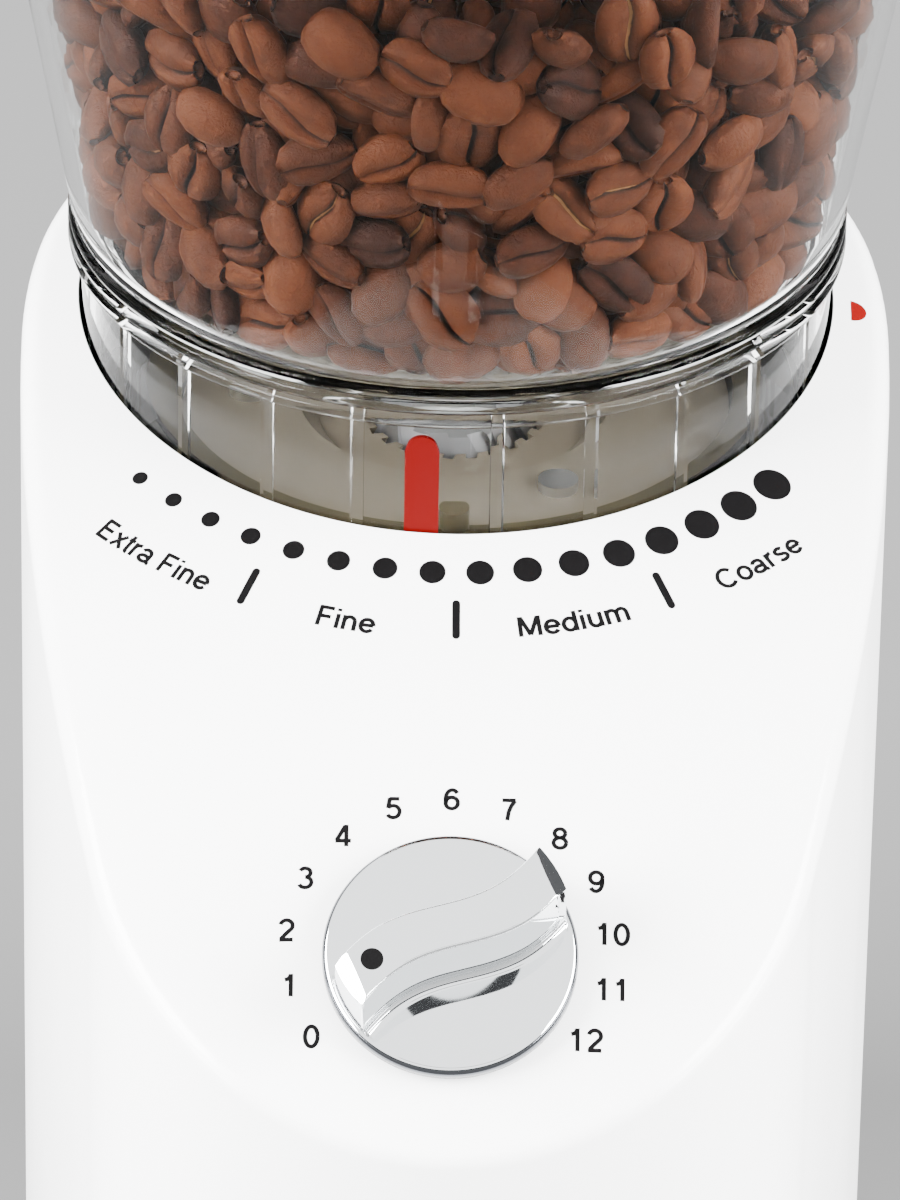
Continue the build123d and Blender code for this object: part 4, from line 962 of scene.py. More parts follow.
@dataclass
class DeckMarks:
    """Printed marks on the top: dots, words, ticks, numbers and the lift-off mark.

    Attributes:
        top: The surface they are printed on.
        dot_count: Number of grind steps.
        dot_ring: Radius of the dots' circle about the hopper.
        dot_step: Degrees between dots.
        dot_middle: Direction of the middle of the row.
        dot_small: Radius of the finest dot.
        dot_large: Radius of the coarsest dot.
        words: Each word with its direction and its length in millimetres.
        word_ring: Radius of the words' baseline about the hopper.
        word_height: Height of the words' capitals.
        tick_inner: Radius at which the ticks start.
        tick_outer: Radius at which they end.
        tick_width: Width of a tick.
        number_ring: Radius of the numbers' circle.
        number_rise: How far that circle's middle is up the slope from the knob's axis.
        number_step: Degrees between numbers.
        number_last: Last number on the dial.
        number_height: Height of the numbers.
        mark_radius: Radius of the red half disc.
        mark_reach: Its flat side, to the right of the hopper's axis.
        mark_forward: Its middle, in front of the hopper's axis.
        lift: How far the ink's upper face stands over the top.
        ink: Thickness of the ink.
    """

    top: Top
    dot_count: int = 16
    dot_ring: float = 61.9 * MM
    dot_step: float = 6.296
    dot_middle: float = 0.3
    dot_small: float = 1.13 * MM
    dot_large: float = 2.76 * MM
    words: tuple[tuple[str, float, float], ...] = (("Extra Fine", -37.2, 20.0), ("Fine", -12.35, 8.7),
                                                   ("Medium", 13.9, 16.5), ("Coarse", 37.9, 15.2))
    word_ring: float = 72.6 * MM
    word_height: float = 3.15 * MM
    tick_inner: float = 66.4 * MM
    tick_outer: float = 72.6 * MM
    tick_width: float = 1.15 * MM
    number_ring: float = 23.1 * MM
    number_rise: float = 1.75 * MM
    number_step: float = 20.63
    number_last: int = 12
    number_height: float = 3.35 * MM
    mark_radius: float = 2.3 * MM
    mark_reach: float = 57.9 * MM
    mark_forward: float = 2.6 * MM
    lift: float = 0.03 * MM
    ink: float = 0.06 * MM

    def print_piece(self, name: str, sheet: Sheet, finish: bpy.types.Material) -> bpy.types.Object:
        """Make a printed piece, a thin solid film of ink, from marks on the top.

        Args:
            name: Name of the piece.
            sheet: The marks.
            finish: Ink.

        Returns:
            The new piece.
        """
        mesh = bpy.data.meshes.new(name)
        faces = [face for part in sheet.faces for face in part.tolist()]
        mesh.from_pydata(np.concatenate(sheet.points).tolist(), [], faces)
        piece = bpy.data.objects.new(name, mesh)
        bpy.context.scene.collection.objects.link(piece)
        film = piece.modifiers.new("film", "SOLIDIFY")
        film.thickness = self.ink
        film.offset = -1.0
        piece.data.materials.append(finish)
        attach(piece, Body.HOUSING.value)
        return piece

    def round_blob(self, x: float, y: float, across: float) -> tuple[np.ndarray, np.ndarray, np.ndarray]:
        """Disc of ink laid on the top: rings of points round a middle point.

        Args:
            x: X of its middle.
            y: Y of its middle.
            across: Its radius.

        Returns:
            Points, the inner triangles and the outer four-cornered faces.
        """
        steps, rings = 40, 3
        turn = np.linspace(0, 2 * np.pi, steps, endpoint=False)
        radius = np.linspace(0, across, rings + 1)[1:, None]
        px = np.concatenate([[x], (x + radius * np.cos(turn)).ravel()])
        py = np.concatenate([[y], (y + radius * np.sin(turn)).ravel()])
        ring = np.arange(steps)
        fan = np.stack([np.zeros(steps, int), 1 + ring, 1 + (ring + 1) % steps], axis=1)
        return self.top.lay(px, py, self.lift), fan, grid_faces(rings, steps, False, True)[:, ::-1] + 1

    def build_dots(self, finish: bpy.types.Material) -> bpy.types.Object:
        """Row of dots that grow evenly from fine to coarse.

        Args:
            finish: Material of the piece.

        Returns:
            The new piece.
        """
        sheet = Sheet()
        for number in range(self.dot_count):
            degrees = self.dot_middle + (number - (self.dot_count - 1) / 2) * self.dot_step
            x, y = self.top.polar(self.dot_ring, degrees)
            size = self.dot_small + (self.dot_large - self.dot_small) * number / (self.dot_count - 1)
            sheet.add(*self.round_blob(float(x), float(y), size))
        return self.print_piece("grind_dots", sheet, finish)

    def build_words(self, finish: bpy.types.Material) -> bpy.types.Object:
        """Words for the grind, set along a circle about the hopper with their tops towards it.

        Args:
            finish: Material of the piece.

        Returns:
            The new piece.
        """
        sheet = Sheet()
        for words, degrees, stretch in self.words:
            flat, word_faces = glyph_mesh(words, self.word_height)
            middle = (flat[:, 0].max() + flat[:, 0].min()) / 2
            span = flat[:, 0].max() - flat[:, 0].min()
            along = (flat[:, 0] - middle) * (stretch * MM / span)
            radius = self.word_ring - flat[:, 1]
            x, y = self.top.polar(radius, degrees + np.degrees(along / self.word_ring))
            sheet.add(self.top.lay(x, y, self.lift), word_faces)
        return self.print_piece("grind_words", sheet, finish)

    def build_ticks(self, finish: bpy.types.Material) -> bpy.types.Object:
        """Three bars with rounded ends between the words, each four dots from the next.

        Args:
            finish: Material of the piece.

        Returns:
            The new piece.
        """
        sheet = Sheet()
        half = self.tick_width / 2
        length = self.tick_outer - self.tick_inner
        ends = np.concatenate([arc((length - half, 0), half, -90, 90, 9), arc((half, 0), half, 90, 270, 9)])
        for group in (-1, 0, 1):
            turn = math.radians(self.dot_middle + group * 4 * self.dot_step)
            outward_axis = np.array([math.sin(turn), -math.cos(turn)])
            side_axis = np.array([math.cos(turn), math.sin(turn)])
            start = np.array([0.0, self.top.axle_y]) + outward_axis * self.tick_inner
            flat = start + ends[:, :1] * outward_axis + ends[:, 1:] * side_axis
            sheet.add(self.top.lay(flat[:, 0], flat[:, 1], self.lift), np.arange(len(ends))[None, :])
        return self.print_piece("grind_ticks", sheet, finish)

    def build_numbers(self, finish: bpy.types.Material) -> bpy.types.Object:
        """Numbers from 0 round the dial, all upright.

        Args:
            finish: Material of the piece.

        Returns:
            The new piece.
        """
        sheet = Sheet()
        for number in range(self.number_last + 1):
            turn = math.radians((number - self.number_last / 2) * self.number_step)
            flat, digit_faces = glyph_mesh(str(number), self.number_height)
            middle = (flat[:, 0].max() + flat[:, 0].min()) / 2
            across = flat[:, 0] - middle + self.number_ring * math.sin(turn)
            base = self.number_ring * math.cos(turn) + self.number_rise - self.number_height / 2
            sheet.add(self.top.press(across, flat[:, 1] + base, self.lift), digit_faces)
        return self.print_piece("dial_numbers", sheet, finish)

    def build_lift_mark(self, finish: bpy.types.Material) -> bpy.types.Object:
        """Red half disc beside the hopper, flat side towards it.

        Args:
            finish: Material of the piece.

        Returns:
            The new piece.
        """
        outline = arc((0, 0), self.mark_radius, -90, 90, 17)
        x = self.mark_reach + outline[:, 0]
        y = self.top.axle_y - self.mark_forward + outline[:, 1]
        sheet = Sheet()
        sheet.add(self.top.lay(x, y, self.lift), np.arange(len(x))[None, :])
        piece = self.print_piece("lift_off_mark", sheet, finish)
        return piece

    def build(self, black: bpy.types.Material, red: bpy.types.Material) -> list[bpy.types.Object]:
        """Print every mark."""
        return [self.build_dots(black), self.build_words(black), self.build_ticks(black),
                self.build_numbers(black), self.build_lift_mark(red)]


# ---------------------------------------------------------------- timer knob
@dataclass
class TimerKnob:
    """Chrome knob: a round base with a high S-shaped grip.

    Attributes:
        top: The surface it stands on.
        radius: Radius of its base.
        base_low: Underside of the base over the top.
        base_high: Upper face of the base.
        grip_high: Upper face of the grip.
        grip_width: Width of the grip's upper face.
        swing: Sideways swing of the grip.
        foot: Radius of the hollow fillet at the grip's foot.
        edge: Radius of the grip's upper edges.
        zero: Direction of the zero mark, clockwise from the top of the dial.
        inset: Distance from the base's rim to the grip's ends.
        bevel_from: Distance from the axis to the edge of each end's flat bevel.
        bevel_skew: Turn of the bevels about the axis, in degrees.
        bevel_slope: Slope of the bevels, in degrees.
        dot_radius: Radius of the black dot.
        dot_reach: Distance of the dot from the axis.
        rim_edge: Radius of the base's rounded rim.
        rim_rows: Rows of faces, from the base's underside up, whose chrome is darkened, a painted reflection
            of dark surroundings.
        turned_steps: Points round the base.
        dish_steps: Rings of points across its upper face.
    """

    top: Top
    radius: float = 17.9 * MM
    base_low: float = 0.9 * MM
    base_high: float = 3.3 * MM
    grip_high: float = 14.7 * MM
    grip_width: float = 7.0 * MM
    swing: float = 1.9 * MM
    foot: float = 1.5 * MM
    edge: float = 0.45 * MM
    zero: float = -123.8
    inset: float = 0.9 * MM
    bevel_from: float = 14.8 * MM
    bevel_skew: float = -10.5
    bevel_slope: float = 31.0
    dot_radius: float = 1.6 * MM
    dot_reach: float = 12.0 * MM
    rim_edge: float = 1.1 * MM
    rim_rows: int = 10
    turned_steps: int = 192
    dish_steps: int = 14

    def turn_to_dial(self, along: np.ndarray, sideways: np.ndarray) -> tuple[np.ndarray, np.ndarray]:
        """Turn places along and across the grip into the dial's across and upward axes.

        Args:
            along: Places along the grip.
            sideways: Places across the grip.

        Returns:
            Across and upward places.
        """
        angle = math.radians(90 - self.zero - 180)
        return (along * math.cos(angle) - sideways * math.sin(angle),
                along * math.sin(angle) + sideways * math.cos(angle))

    def middle_line(self, along: np.ndarray) -> np.ndarray:
        """Sideways place of the grip's middle line: one sine wave over the knob's width."""
        return -self.swing * np.sin(np.pi * along / self.radius)

    def grip_profile(self) -> np.ndarray:
        """Half profile of the grip as (sideways, height), from its middle to the foot's outer edge.

        Returns:
            Array of (sideways, height).
        """
        half = self.grip_width / 2
        crown = np.stack([np.linspace(0, half - self.edge, 6), np.full(6, self.grip_high)], axis=1)
        crown[:, 1] -= 0.10 * MM * (crown[:, 0] / half) ** 2
        high = crown[-1, 1] - self.edge
        shoulder = arc((half - self.edge, high), self.edge, 90, 4, 7)[1:]
        foot_centre = (half + 0.35 * MM + self.foot, self.base_high + self.foot)
        hollow = arc(foot_centre, self.foot, 184, 270, 12)
        under = np.array([[foot_centre[0], self.base_high - 0.4 * MM]])
        return np.concatenate([crown, shoulder, hollow, under])

    def end_reach(self, sideways: np.ndarray, direction: float, limit: float) -> np.ndarray:
        """How far along the grip each lengthwise line runs before it meets a circle.

        Args:
            sideways: Places across the grip.
            direction: Minus one or one, for the end.
            limit: Radius of the circle.

        Returns:
            Places along the grip.
        """
        along = np.full_like(sideways, direction * limit * 0.9)
        for _ in range(40):
            across = self.middle_line(along) + sideways
            along = 0.5 * along + 0.5 * direction * np.sqrt(np.maximum(limit ** 2 - across ** 2, 1e-9))
        return along

    def build_grip(self, finish: bpy.types.Material) -> bpy.types.Object:
        """Grip: the profile carried along the wave, ended on a circle, with rounded ends.

        Args:
            finish: Material of the piece.

        Returns:
            The new piece.
        """
        half = self.grip_profile()
        sideways = np.concatenate([-half[::-1, 0], half[1:, 0]])
        height = np.concatenate([half[::-1, 1], half[1:, 1]])
        limit = self.radius - self.inset
        share = 0.5 - 0.5 * np.cos(np.linspace(0, np.pi, 97))[:, None]
        start = self.end_reach(sideways, -1, limit - self.edge)
        end = self.end_reach(sideways, 1, limit - self.edge)
        along = start + (end - start) * share
        rows_height = np.repeat(height[None, :], len(share), axis=0)
        caps_along, caps_height = [], []
        for turn in np.radians(np.linspace(15, 90, 6)):
            grown = limit - self.edge * (1 - math.sin(turn))
            drop = self.edge * (1 - math.cos(turn))
            caps_height.append(np.maximum(height - drop, np.minimum(height, self.base_high)))
            caps_along.append((self.end_reach(sideways, -1, grown), self.end_reach(sideways, 1, grown)))
        low_row = np.full_like(height, self.base_high - 0.4 * MM)
        front = [caps[0] for caps in caps_along] + [caps_along[-1][0]]
        back = [caps[1] for caps in caps_along] + [caps_along[-1][1]]
        along = np.concatenate([np.array(front[::-1]), along, np.array(back)])
        cap_heights = caps_height + [low_row]
        rows_height = np.concatenate([np.array(cap_heights[::-1]), rows_height, np.array(cap_heights)])
        across = self.middle_line(along) + sideways
        skew = math.radians(self.bevel_skew)
        beyond = np.abs(along * math.cos(skew) + across * math.sin(skew)) - self.bevel_from
        bevel = self.grip_high - 0.02 * MM - np.maximum(beyond, 0) * math.tan(math.radians(self.bevel_slope))
        rows_height = np.minimum(rows_height, np.maximum(bevel, self.base_high + 0.5 * MM))
        dial_across, dial_up = self.turn_to_dial(along, across)
        points = self.top.dial_point(dial_across, dial_up, rows_height).reshape(-1, 3)
        rows, columns = along.shape
        faces = grid_faces(rows, columns)
        rim = grid_border(rows, columns)
        middle = points[rim].mean(axis=0)
        points = np.concatenate([points, middle[None, :]])
        fan = np.stack([rim, np.roll(rim, -1), np.full(len(rim), len(points) - 1)], axis=1)
        piece = outward(mesh_piece("knob_grip", points, [faces, fan]))
        sharpen(piece, 50)
        piece.data.materials.append(finish)
        return piece

    def build_base(self, finish: bpy.types.Material) -> bpy.types.Object:
        """Base: a turned disc with a rounded upper edge and a very shallow dish.

        Args:
            finish: Material of the piece.

        Returns:
            The new piece.
        """
        edge, steps = self.rim_edge, self.turned_steps
        dish = np.linspace(self.radius - edge - 0.2 * MM, 0.2 * MM, self.dish_steps)
        profile = np.concatenate([
            [[0.2 * MM, self.base_low]], [[self.radius - 0.5 * MM, self.base_low]],
            [[self.radius, self.base_low + 0.4 * MM]],
            arc((self.radius - edge, self.base_high - edge), edge, 0, 90, 12),
            np.stack([dish, np.full(self.dish_steps, self.base_high)], axis=1),
        ])
        turn = np.linspace(0, 2 * np.pi, steps, endpoint=False)
        across = profile[:, :1] * np.cos(turn)
        upward = profile[:, :1] * np.sin(turn)
        out = np.repeat(profile[:, 1:], steps, axis=1)
        points = self.top.dial_point(across, upward, out).reshape(-1, 3)
        poles = self.top.dial_point(np.zeros(2), np.zeros(2), np.array([self.base_low, self.base_high]))
        points = np.concatenate([points, poles])
        last = (len(profile) - 1) * steps
        ring = np.arange(steps)
        low_fan = np.stack([np.roll(ring, -1), ring, np.full(steps, len(points) - 2)], axis=1)
        high_fan = np.stack([last + ring, last + np.roll(ring, -1), np.full(steps, len(points) - 1)], axis=1)
        piece = outward(mesh_piece("knob_base", points,
                                   [grid_faces(len(profile), steps, False, True), low_fan, high_fan]))
        piece.data.materials.append(finish)
        # Painted reflection: the lowest rim rows take the dark chrome.
        piece.data.materials.append(RIM_DARK_REFLECTION.build())
        number = np.zeros(len(piece.data.polygons), dtype=np.int32)
        number[:self.rim_rows * steps] = 1
        piece.data.polygons.foreach_set("material_index", number)
        return piece

    def build_dot(self, finish: bpy.types.Material) -> bpy.types.Object:
        """Black dot on the end of the grip that points at the numbers.

        Args:
            finish: Material of the piece.

        Returns:
            The new piece.
        """
        turn = np.linspace(0, 2 * np.pi, 40, endpoint=False)
        along = -self.dot_reach + self.dot_radius * np.cos(turn)
        sideways = self.middle_line(np.full(1, -self.dot_reach)) + self.dot_radius * np.sin(turn)
        across, upward = self.turn_to_dial(along, sideways)
        level = np.full(len(turn), self.grip_high - 0.05 * MM)
        low = self.top.dial_point(across, upward, level)
        high = self.top.dial_point(across, upward, level + 0.09 * MM)
        points = np.concatenate([low, high])
        sides = grid_faces(2, len(turn), False, True)
        piece = mesh_piece("knob_dot", points, [sides], smooth=False)
        work = bmesh.new()
        work.from_mesh(piece.data)
        bmesh.ops.holes_fill(work, edges=work.edges, sides=0)
        bmesh.ops.recalc_face_normals(work, faces=work.faces)
        work.to_mesh(piece.data)
        work.free()
        piece.data.materials.append(finish)
        return piece

    def build(self, chrome: bpy.types.Material, black: bpy.types.Material) -> list[bpy.types.Object]:
        """Make the knob's pieces and let them ride on the timer.

        Args:
            chrome: Bright finish.
            black: Black finish.

        Returns:
            The new pieces.
        """
        base, grip, dot = self.build_base(chrome), self.build_grip(chrome), self.build_dot(black)
        for piece in (base, grip, dot):
            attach(piece, Body.TIMER.value)
        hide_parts("timer_knob")
        return [base, grip, dot]


# ---------------------------------------------------------------- hopper
@dataclass
class Hopper:
    """Clear hopper with its skirt, beads, funnel and pointer.

    Attributes:
        top: The housing's top, which gives the heights.
        skirt: Outer radius of the skirt.
        skirt_wall: Its wall.
        base: Outer radius at the foot of the bowl.
        rim: Outer radius at the rim.
        wall: Wall of the bowl.
        throat: Inner radius of the funnel's throat.
        lip: Inner radius of the skirt's lower lip.
        floor: Foot of the bowl over the crest.
        height: Rim of the bowl over the crest.
        rib_width: Width of a rib.
        rib_depth: How far a rib stands in from the skirt.
        ribs: Directions of the ribs, in degrees from the front towards +X.
        pointer_turn: Direction of the pointer.
        pointer_half: Half the pointer's width.
    """

    top: Top
    skirt: float = 54.9 * MM
    skirt_wall: float = 2.0 * MM
    base: float = 56.3 * MM
    rim: float = 69.5 * MM
    wall: float = 2.2 * MM
    throat: float = 16.0 * MM
    lip: float = 45.5 * MM
    floor: float = 9.0 * MM
    height: float = 84.0 * MM
    rib_width: float = 1.7 * MM
    rib_depth: float = 0.7 * MM
    ribs: tuple[float, ...] = (-63.6, -47.2, -30.5, -15.3, 6.4, 21.4, 37.7, 53.8, 70.3, 92.0, 114.0, 136.0,
                               158.0, 180.0, 202.0, 224.0, 246.0, 268.0, 280.5)
    pointer_turn: float = -5.0
    pointer_half: float = 2.45 * MM

    def profile(self) -> tuple[np.ndarray, np.ndarray]:
        """Closed profile of the wall, and a 0 or 1 for each point that the ribs thicken.

        Returns:
            The profile and the marks.
        """
        crest = self.top.crest_z
        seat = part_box("hopper_bowl")[0].z
        bowl_low = crest + self.floor
        skirt_top = crest + 2.2 * MM
        beads = [arc((self.base - 0.5 * MM, skirt_top + 1.9 * MM + number * 2.1 * MM), 1.05 * MM, -80, 80, 9)
                 for number in range(3)]
        outer = np.concatenate([
            [[self.lip, seat]], [[self.skirt - 0.4 * MM, seat]], [[self.skirt, seat + 0.4 * MM]],
            [[self.skirt, skirt_top]], *beads,
            [[self.base + 0.12 * MM, bowl_low + 1.0 * MM]],
        ])
        share = np.linspace(0.04, 1.0, 24)[:, None]
        slope = np.concatenate([self.base + (self.rim - self.base) * share,
                                bowl_low + (self.height - self.floor - 0.8 * MM) * share], axis=1)
        rim_centre = (self.rim - self.wall / 2, crest + self.height - self.wall / 2)
        rim = arc(rim_centre, self.wall / 2, 10, 170, 9)
        inner = slope[::-1] - np.array([self.wall, 0.0])
        funnel_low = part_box("hopper_bowl")[0].z + 4.5 * MM
        throat = np.array([
            [self.base - self.wall - 0.6 * MM, bowl_low - 0.2 * MM],
            [self.base - self.wall - 2.4 * MM, bowl_low - 1.4 * MM],
            [self.throat, funnel_low + 8 * MM], [self.throat, funnel_low],
            [self.throat + 2 * MM, funnel_low], [self.throat + 2 * MM, funnel_low + 7.5 * MM]])
        skirt_inside = np.array([
            [self.skirt - self.skirt_wall - 1.6 * MM, bowl_low - 4.6 * MM],
            [self.skirt - self.skirt_wall, bowl_low - 5.6 * MM],
            [self.skirt - self.skirt_wall, bowl_low - 7.0 * MM],
            [self.skirt - self.skirt_wall, seat + 3.0 * MM],
            [self.skirt - self.skirt_wall, seat + 2.0 * MM], [self.lip, seat + 2.0 * MM]])
        whole = np.concatenate([outer, slope, rim, inner, throat, skirt_inside])
        ribbed = np.zeros(len(whole))
        ribbed[-4:-2] = 1.0
        return whole, ribbed

    def turns(self) -> np.ndarray:
        """Angles all round, closer together at each rib's edges.

        Returns:
            Angles in radians.
        """
        even = np.linspace(0, 360, 288, endpoint=False)
        half = np.degrees(self.rib_width / 2 / self.skirt)
        offsets = np.array([-1.25, -1.0, -0.7, 0.0, 0.7, 1.0, 1.25]) * half
        extra = (np.array(self.ribs)[:, None] + offsets).ravel() % 360
        gap = np.abs((extra - even[:, None] + 180) % 360 - 180).min(axis=1)
        return np.radians(np.sort(np.concatenate([even[gap > 0.25], extra])))

    def rib_shape(self, ribbed: np.ndarray) -> Callable[[np.ndarray, np.ndarray], np.ndarray]:
        """How much each rib narrows the inside: full within its width, nothing outside.

        Args:
            ribbed: One for each profile row that the ribs thicken.

        Returns:
            Function of profile rows and angles.
        """
        half = self.rib_width / 2 / self.skirt

        def inward(rows: np.ndarray, angles: np.ndarray) -> np.ndarray:
            """Thickening at each profile row and angle.

            Args:
                rows: Profile rows.
                angles: Angles in radians.

            Returns:
                What comes off the radius.
            """
            ribs = np.radians(np.array(self.ribs))
            away = np.abs((angles[..., None] - ribs + np.pi) % (2 * np.pi) - np.pi).min(axis=-1)
            bump = np.clip((1.25 * half - away) / (0.25 * half), 0, 1)
            return self.rib_depth * bump * ribbed[rows]

        return inward

    def build_bowl(self, finish: bpy.types.Material) -> bpy.types.Object:
        """Clear moulding from the skirt's lip to the rim.

        Args:
            finish: Material of the piece.

        Returns:
            The new piece.
        """
        profile, ribbed = self.profile()
        bowl = revolve("hopper_moulding", profile, (0.0, self.top.axle_y), self.turns(),
                       self.rib_shape(ribbed))
        sharpen(bowl, 38)
        bowl.data.materials.append(finish)
        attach(bowl, Body.HOPPER.value)
        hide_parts("hopper_bowl")
        return bowl

    def build_pointer(self, finish: bpy.types.Material) -> bpy.types.Object:
        """Red strip with a rounded top that hugs the skirt, a little proud of it.

        Args:
            finish: Material of the piece.

        Returns:
            The new piece.
        """
        low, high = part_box("hopper_pointer")
        half = self.pointer_half
        side = np.linspace(-half, half, 13)
        crown = high.z - half + np.sqrt(np.maximum(half ** 2 - side ** 2, 0))
        share = np.linspace(0, 1, 9)[:, None]
        z = low.z + (crown - low.z) * share
        turn = math.radians(self.pointer_turn) + side / self.skirt
        layers = []
        for radius in (self.skirt - 0.75 * MM, self.skirt + 0.06 * MM):
            x = radius * np.sin(turn) + 0 * z
            y = self.top.axle_y - radius * np.cos(turn) + 0 * z
            layers.append(np.stack([x, y, z], axis=-1))
        rows, columns = layers[0].shape[:2]
        points = np.concatenate([layer.reshape(-1, 3) for layer in layers])
        face = grid_faces(rows, columns)
        border = grid_border(rows, columns)
        shift = rows * columns
        walls = np.stack([border, np.roll(border, -1), np.roll(border, -1) + shift, border + shift], axis=1)
        piece = outward(mesh_piece("pointer_strip", points, [face, face + shift, walls], smooth=False))
        piece.data.materials.append(finish)
        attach(piece, Body.HOPPER.value)
        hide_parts("hopper_pointer")
        return piece

    def build_lid(self, finish: bpy.types.Material) -> bpy.types.Object:
        """Lid: a crowned plate with a plug ring inside the rim and a waisted grip.

        Args:
            finish: Material of the piece.

        Returns:
            The new piece.
        """
        low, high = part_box("hopper_lid")
        plate = low.z + 6.0 * MM
        radius = (high.x - low.x) / 2
        plug = 65.3 * MM
        grip = high.z
        profile = np.concatenate([
            [[0.05 * MM, grip - 0.5 * MM]], [[7.0 * MM, grip - 0.35 * MM]],
            arc((10.4 * MM, grip - 1.6 * MM), 1.6 * MM, 90, -20, 9),
            [[10.2 * MM, grip - 4.5 * MM]], [[9.6 * MM, plate + 4.2 * MM]],
            arc((12.0 * MM, plate + 4.6 * MM), 2.0 * MM, 180, 262, 8),
            [[40.0 * MM, plate + 2.35 * MM]], [[66.0 * MM, plate + 2.1 * MM]],
            arc((radius - 1.1 * MM, plate + 1.1 * MM), 1.1 * MM, 78, -78, 9),
            [[plug, plate]], [[plug, low.z + 0.4 * MM]], [[plug - 0.4 * MM, low.z]],
            [[plug - 1.4 * MM, low.z]], [[plug - 1.8 * MM, low.z + 0.4 * MM]],
            [[plug - 1.8 * MM, plate + 0.2 * MM]], [[8.0 * MM, plate + 0.3 * MM]],
            [[0.05 * MM, plate + 0.3 * MM]],
        ])
        lid = revolve("hopper_cover", profile, (0.0, self.top.axle_y),
                      np.linspace(0, 2 * np.pi, 192, endpoint=False))
        sharpen(lid, 40)
        lid.data.materials.append(finish)
        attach(lid, Body.LID.value)
        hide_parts("hopper_lid")
        return lid


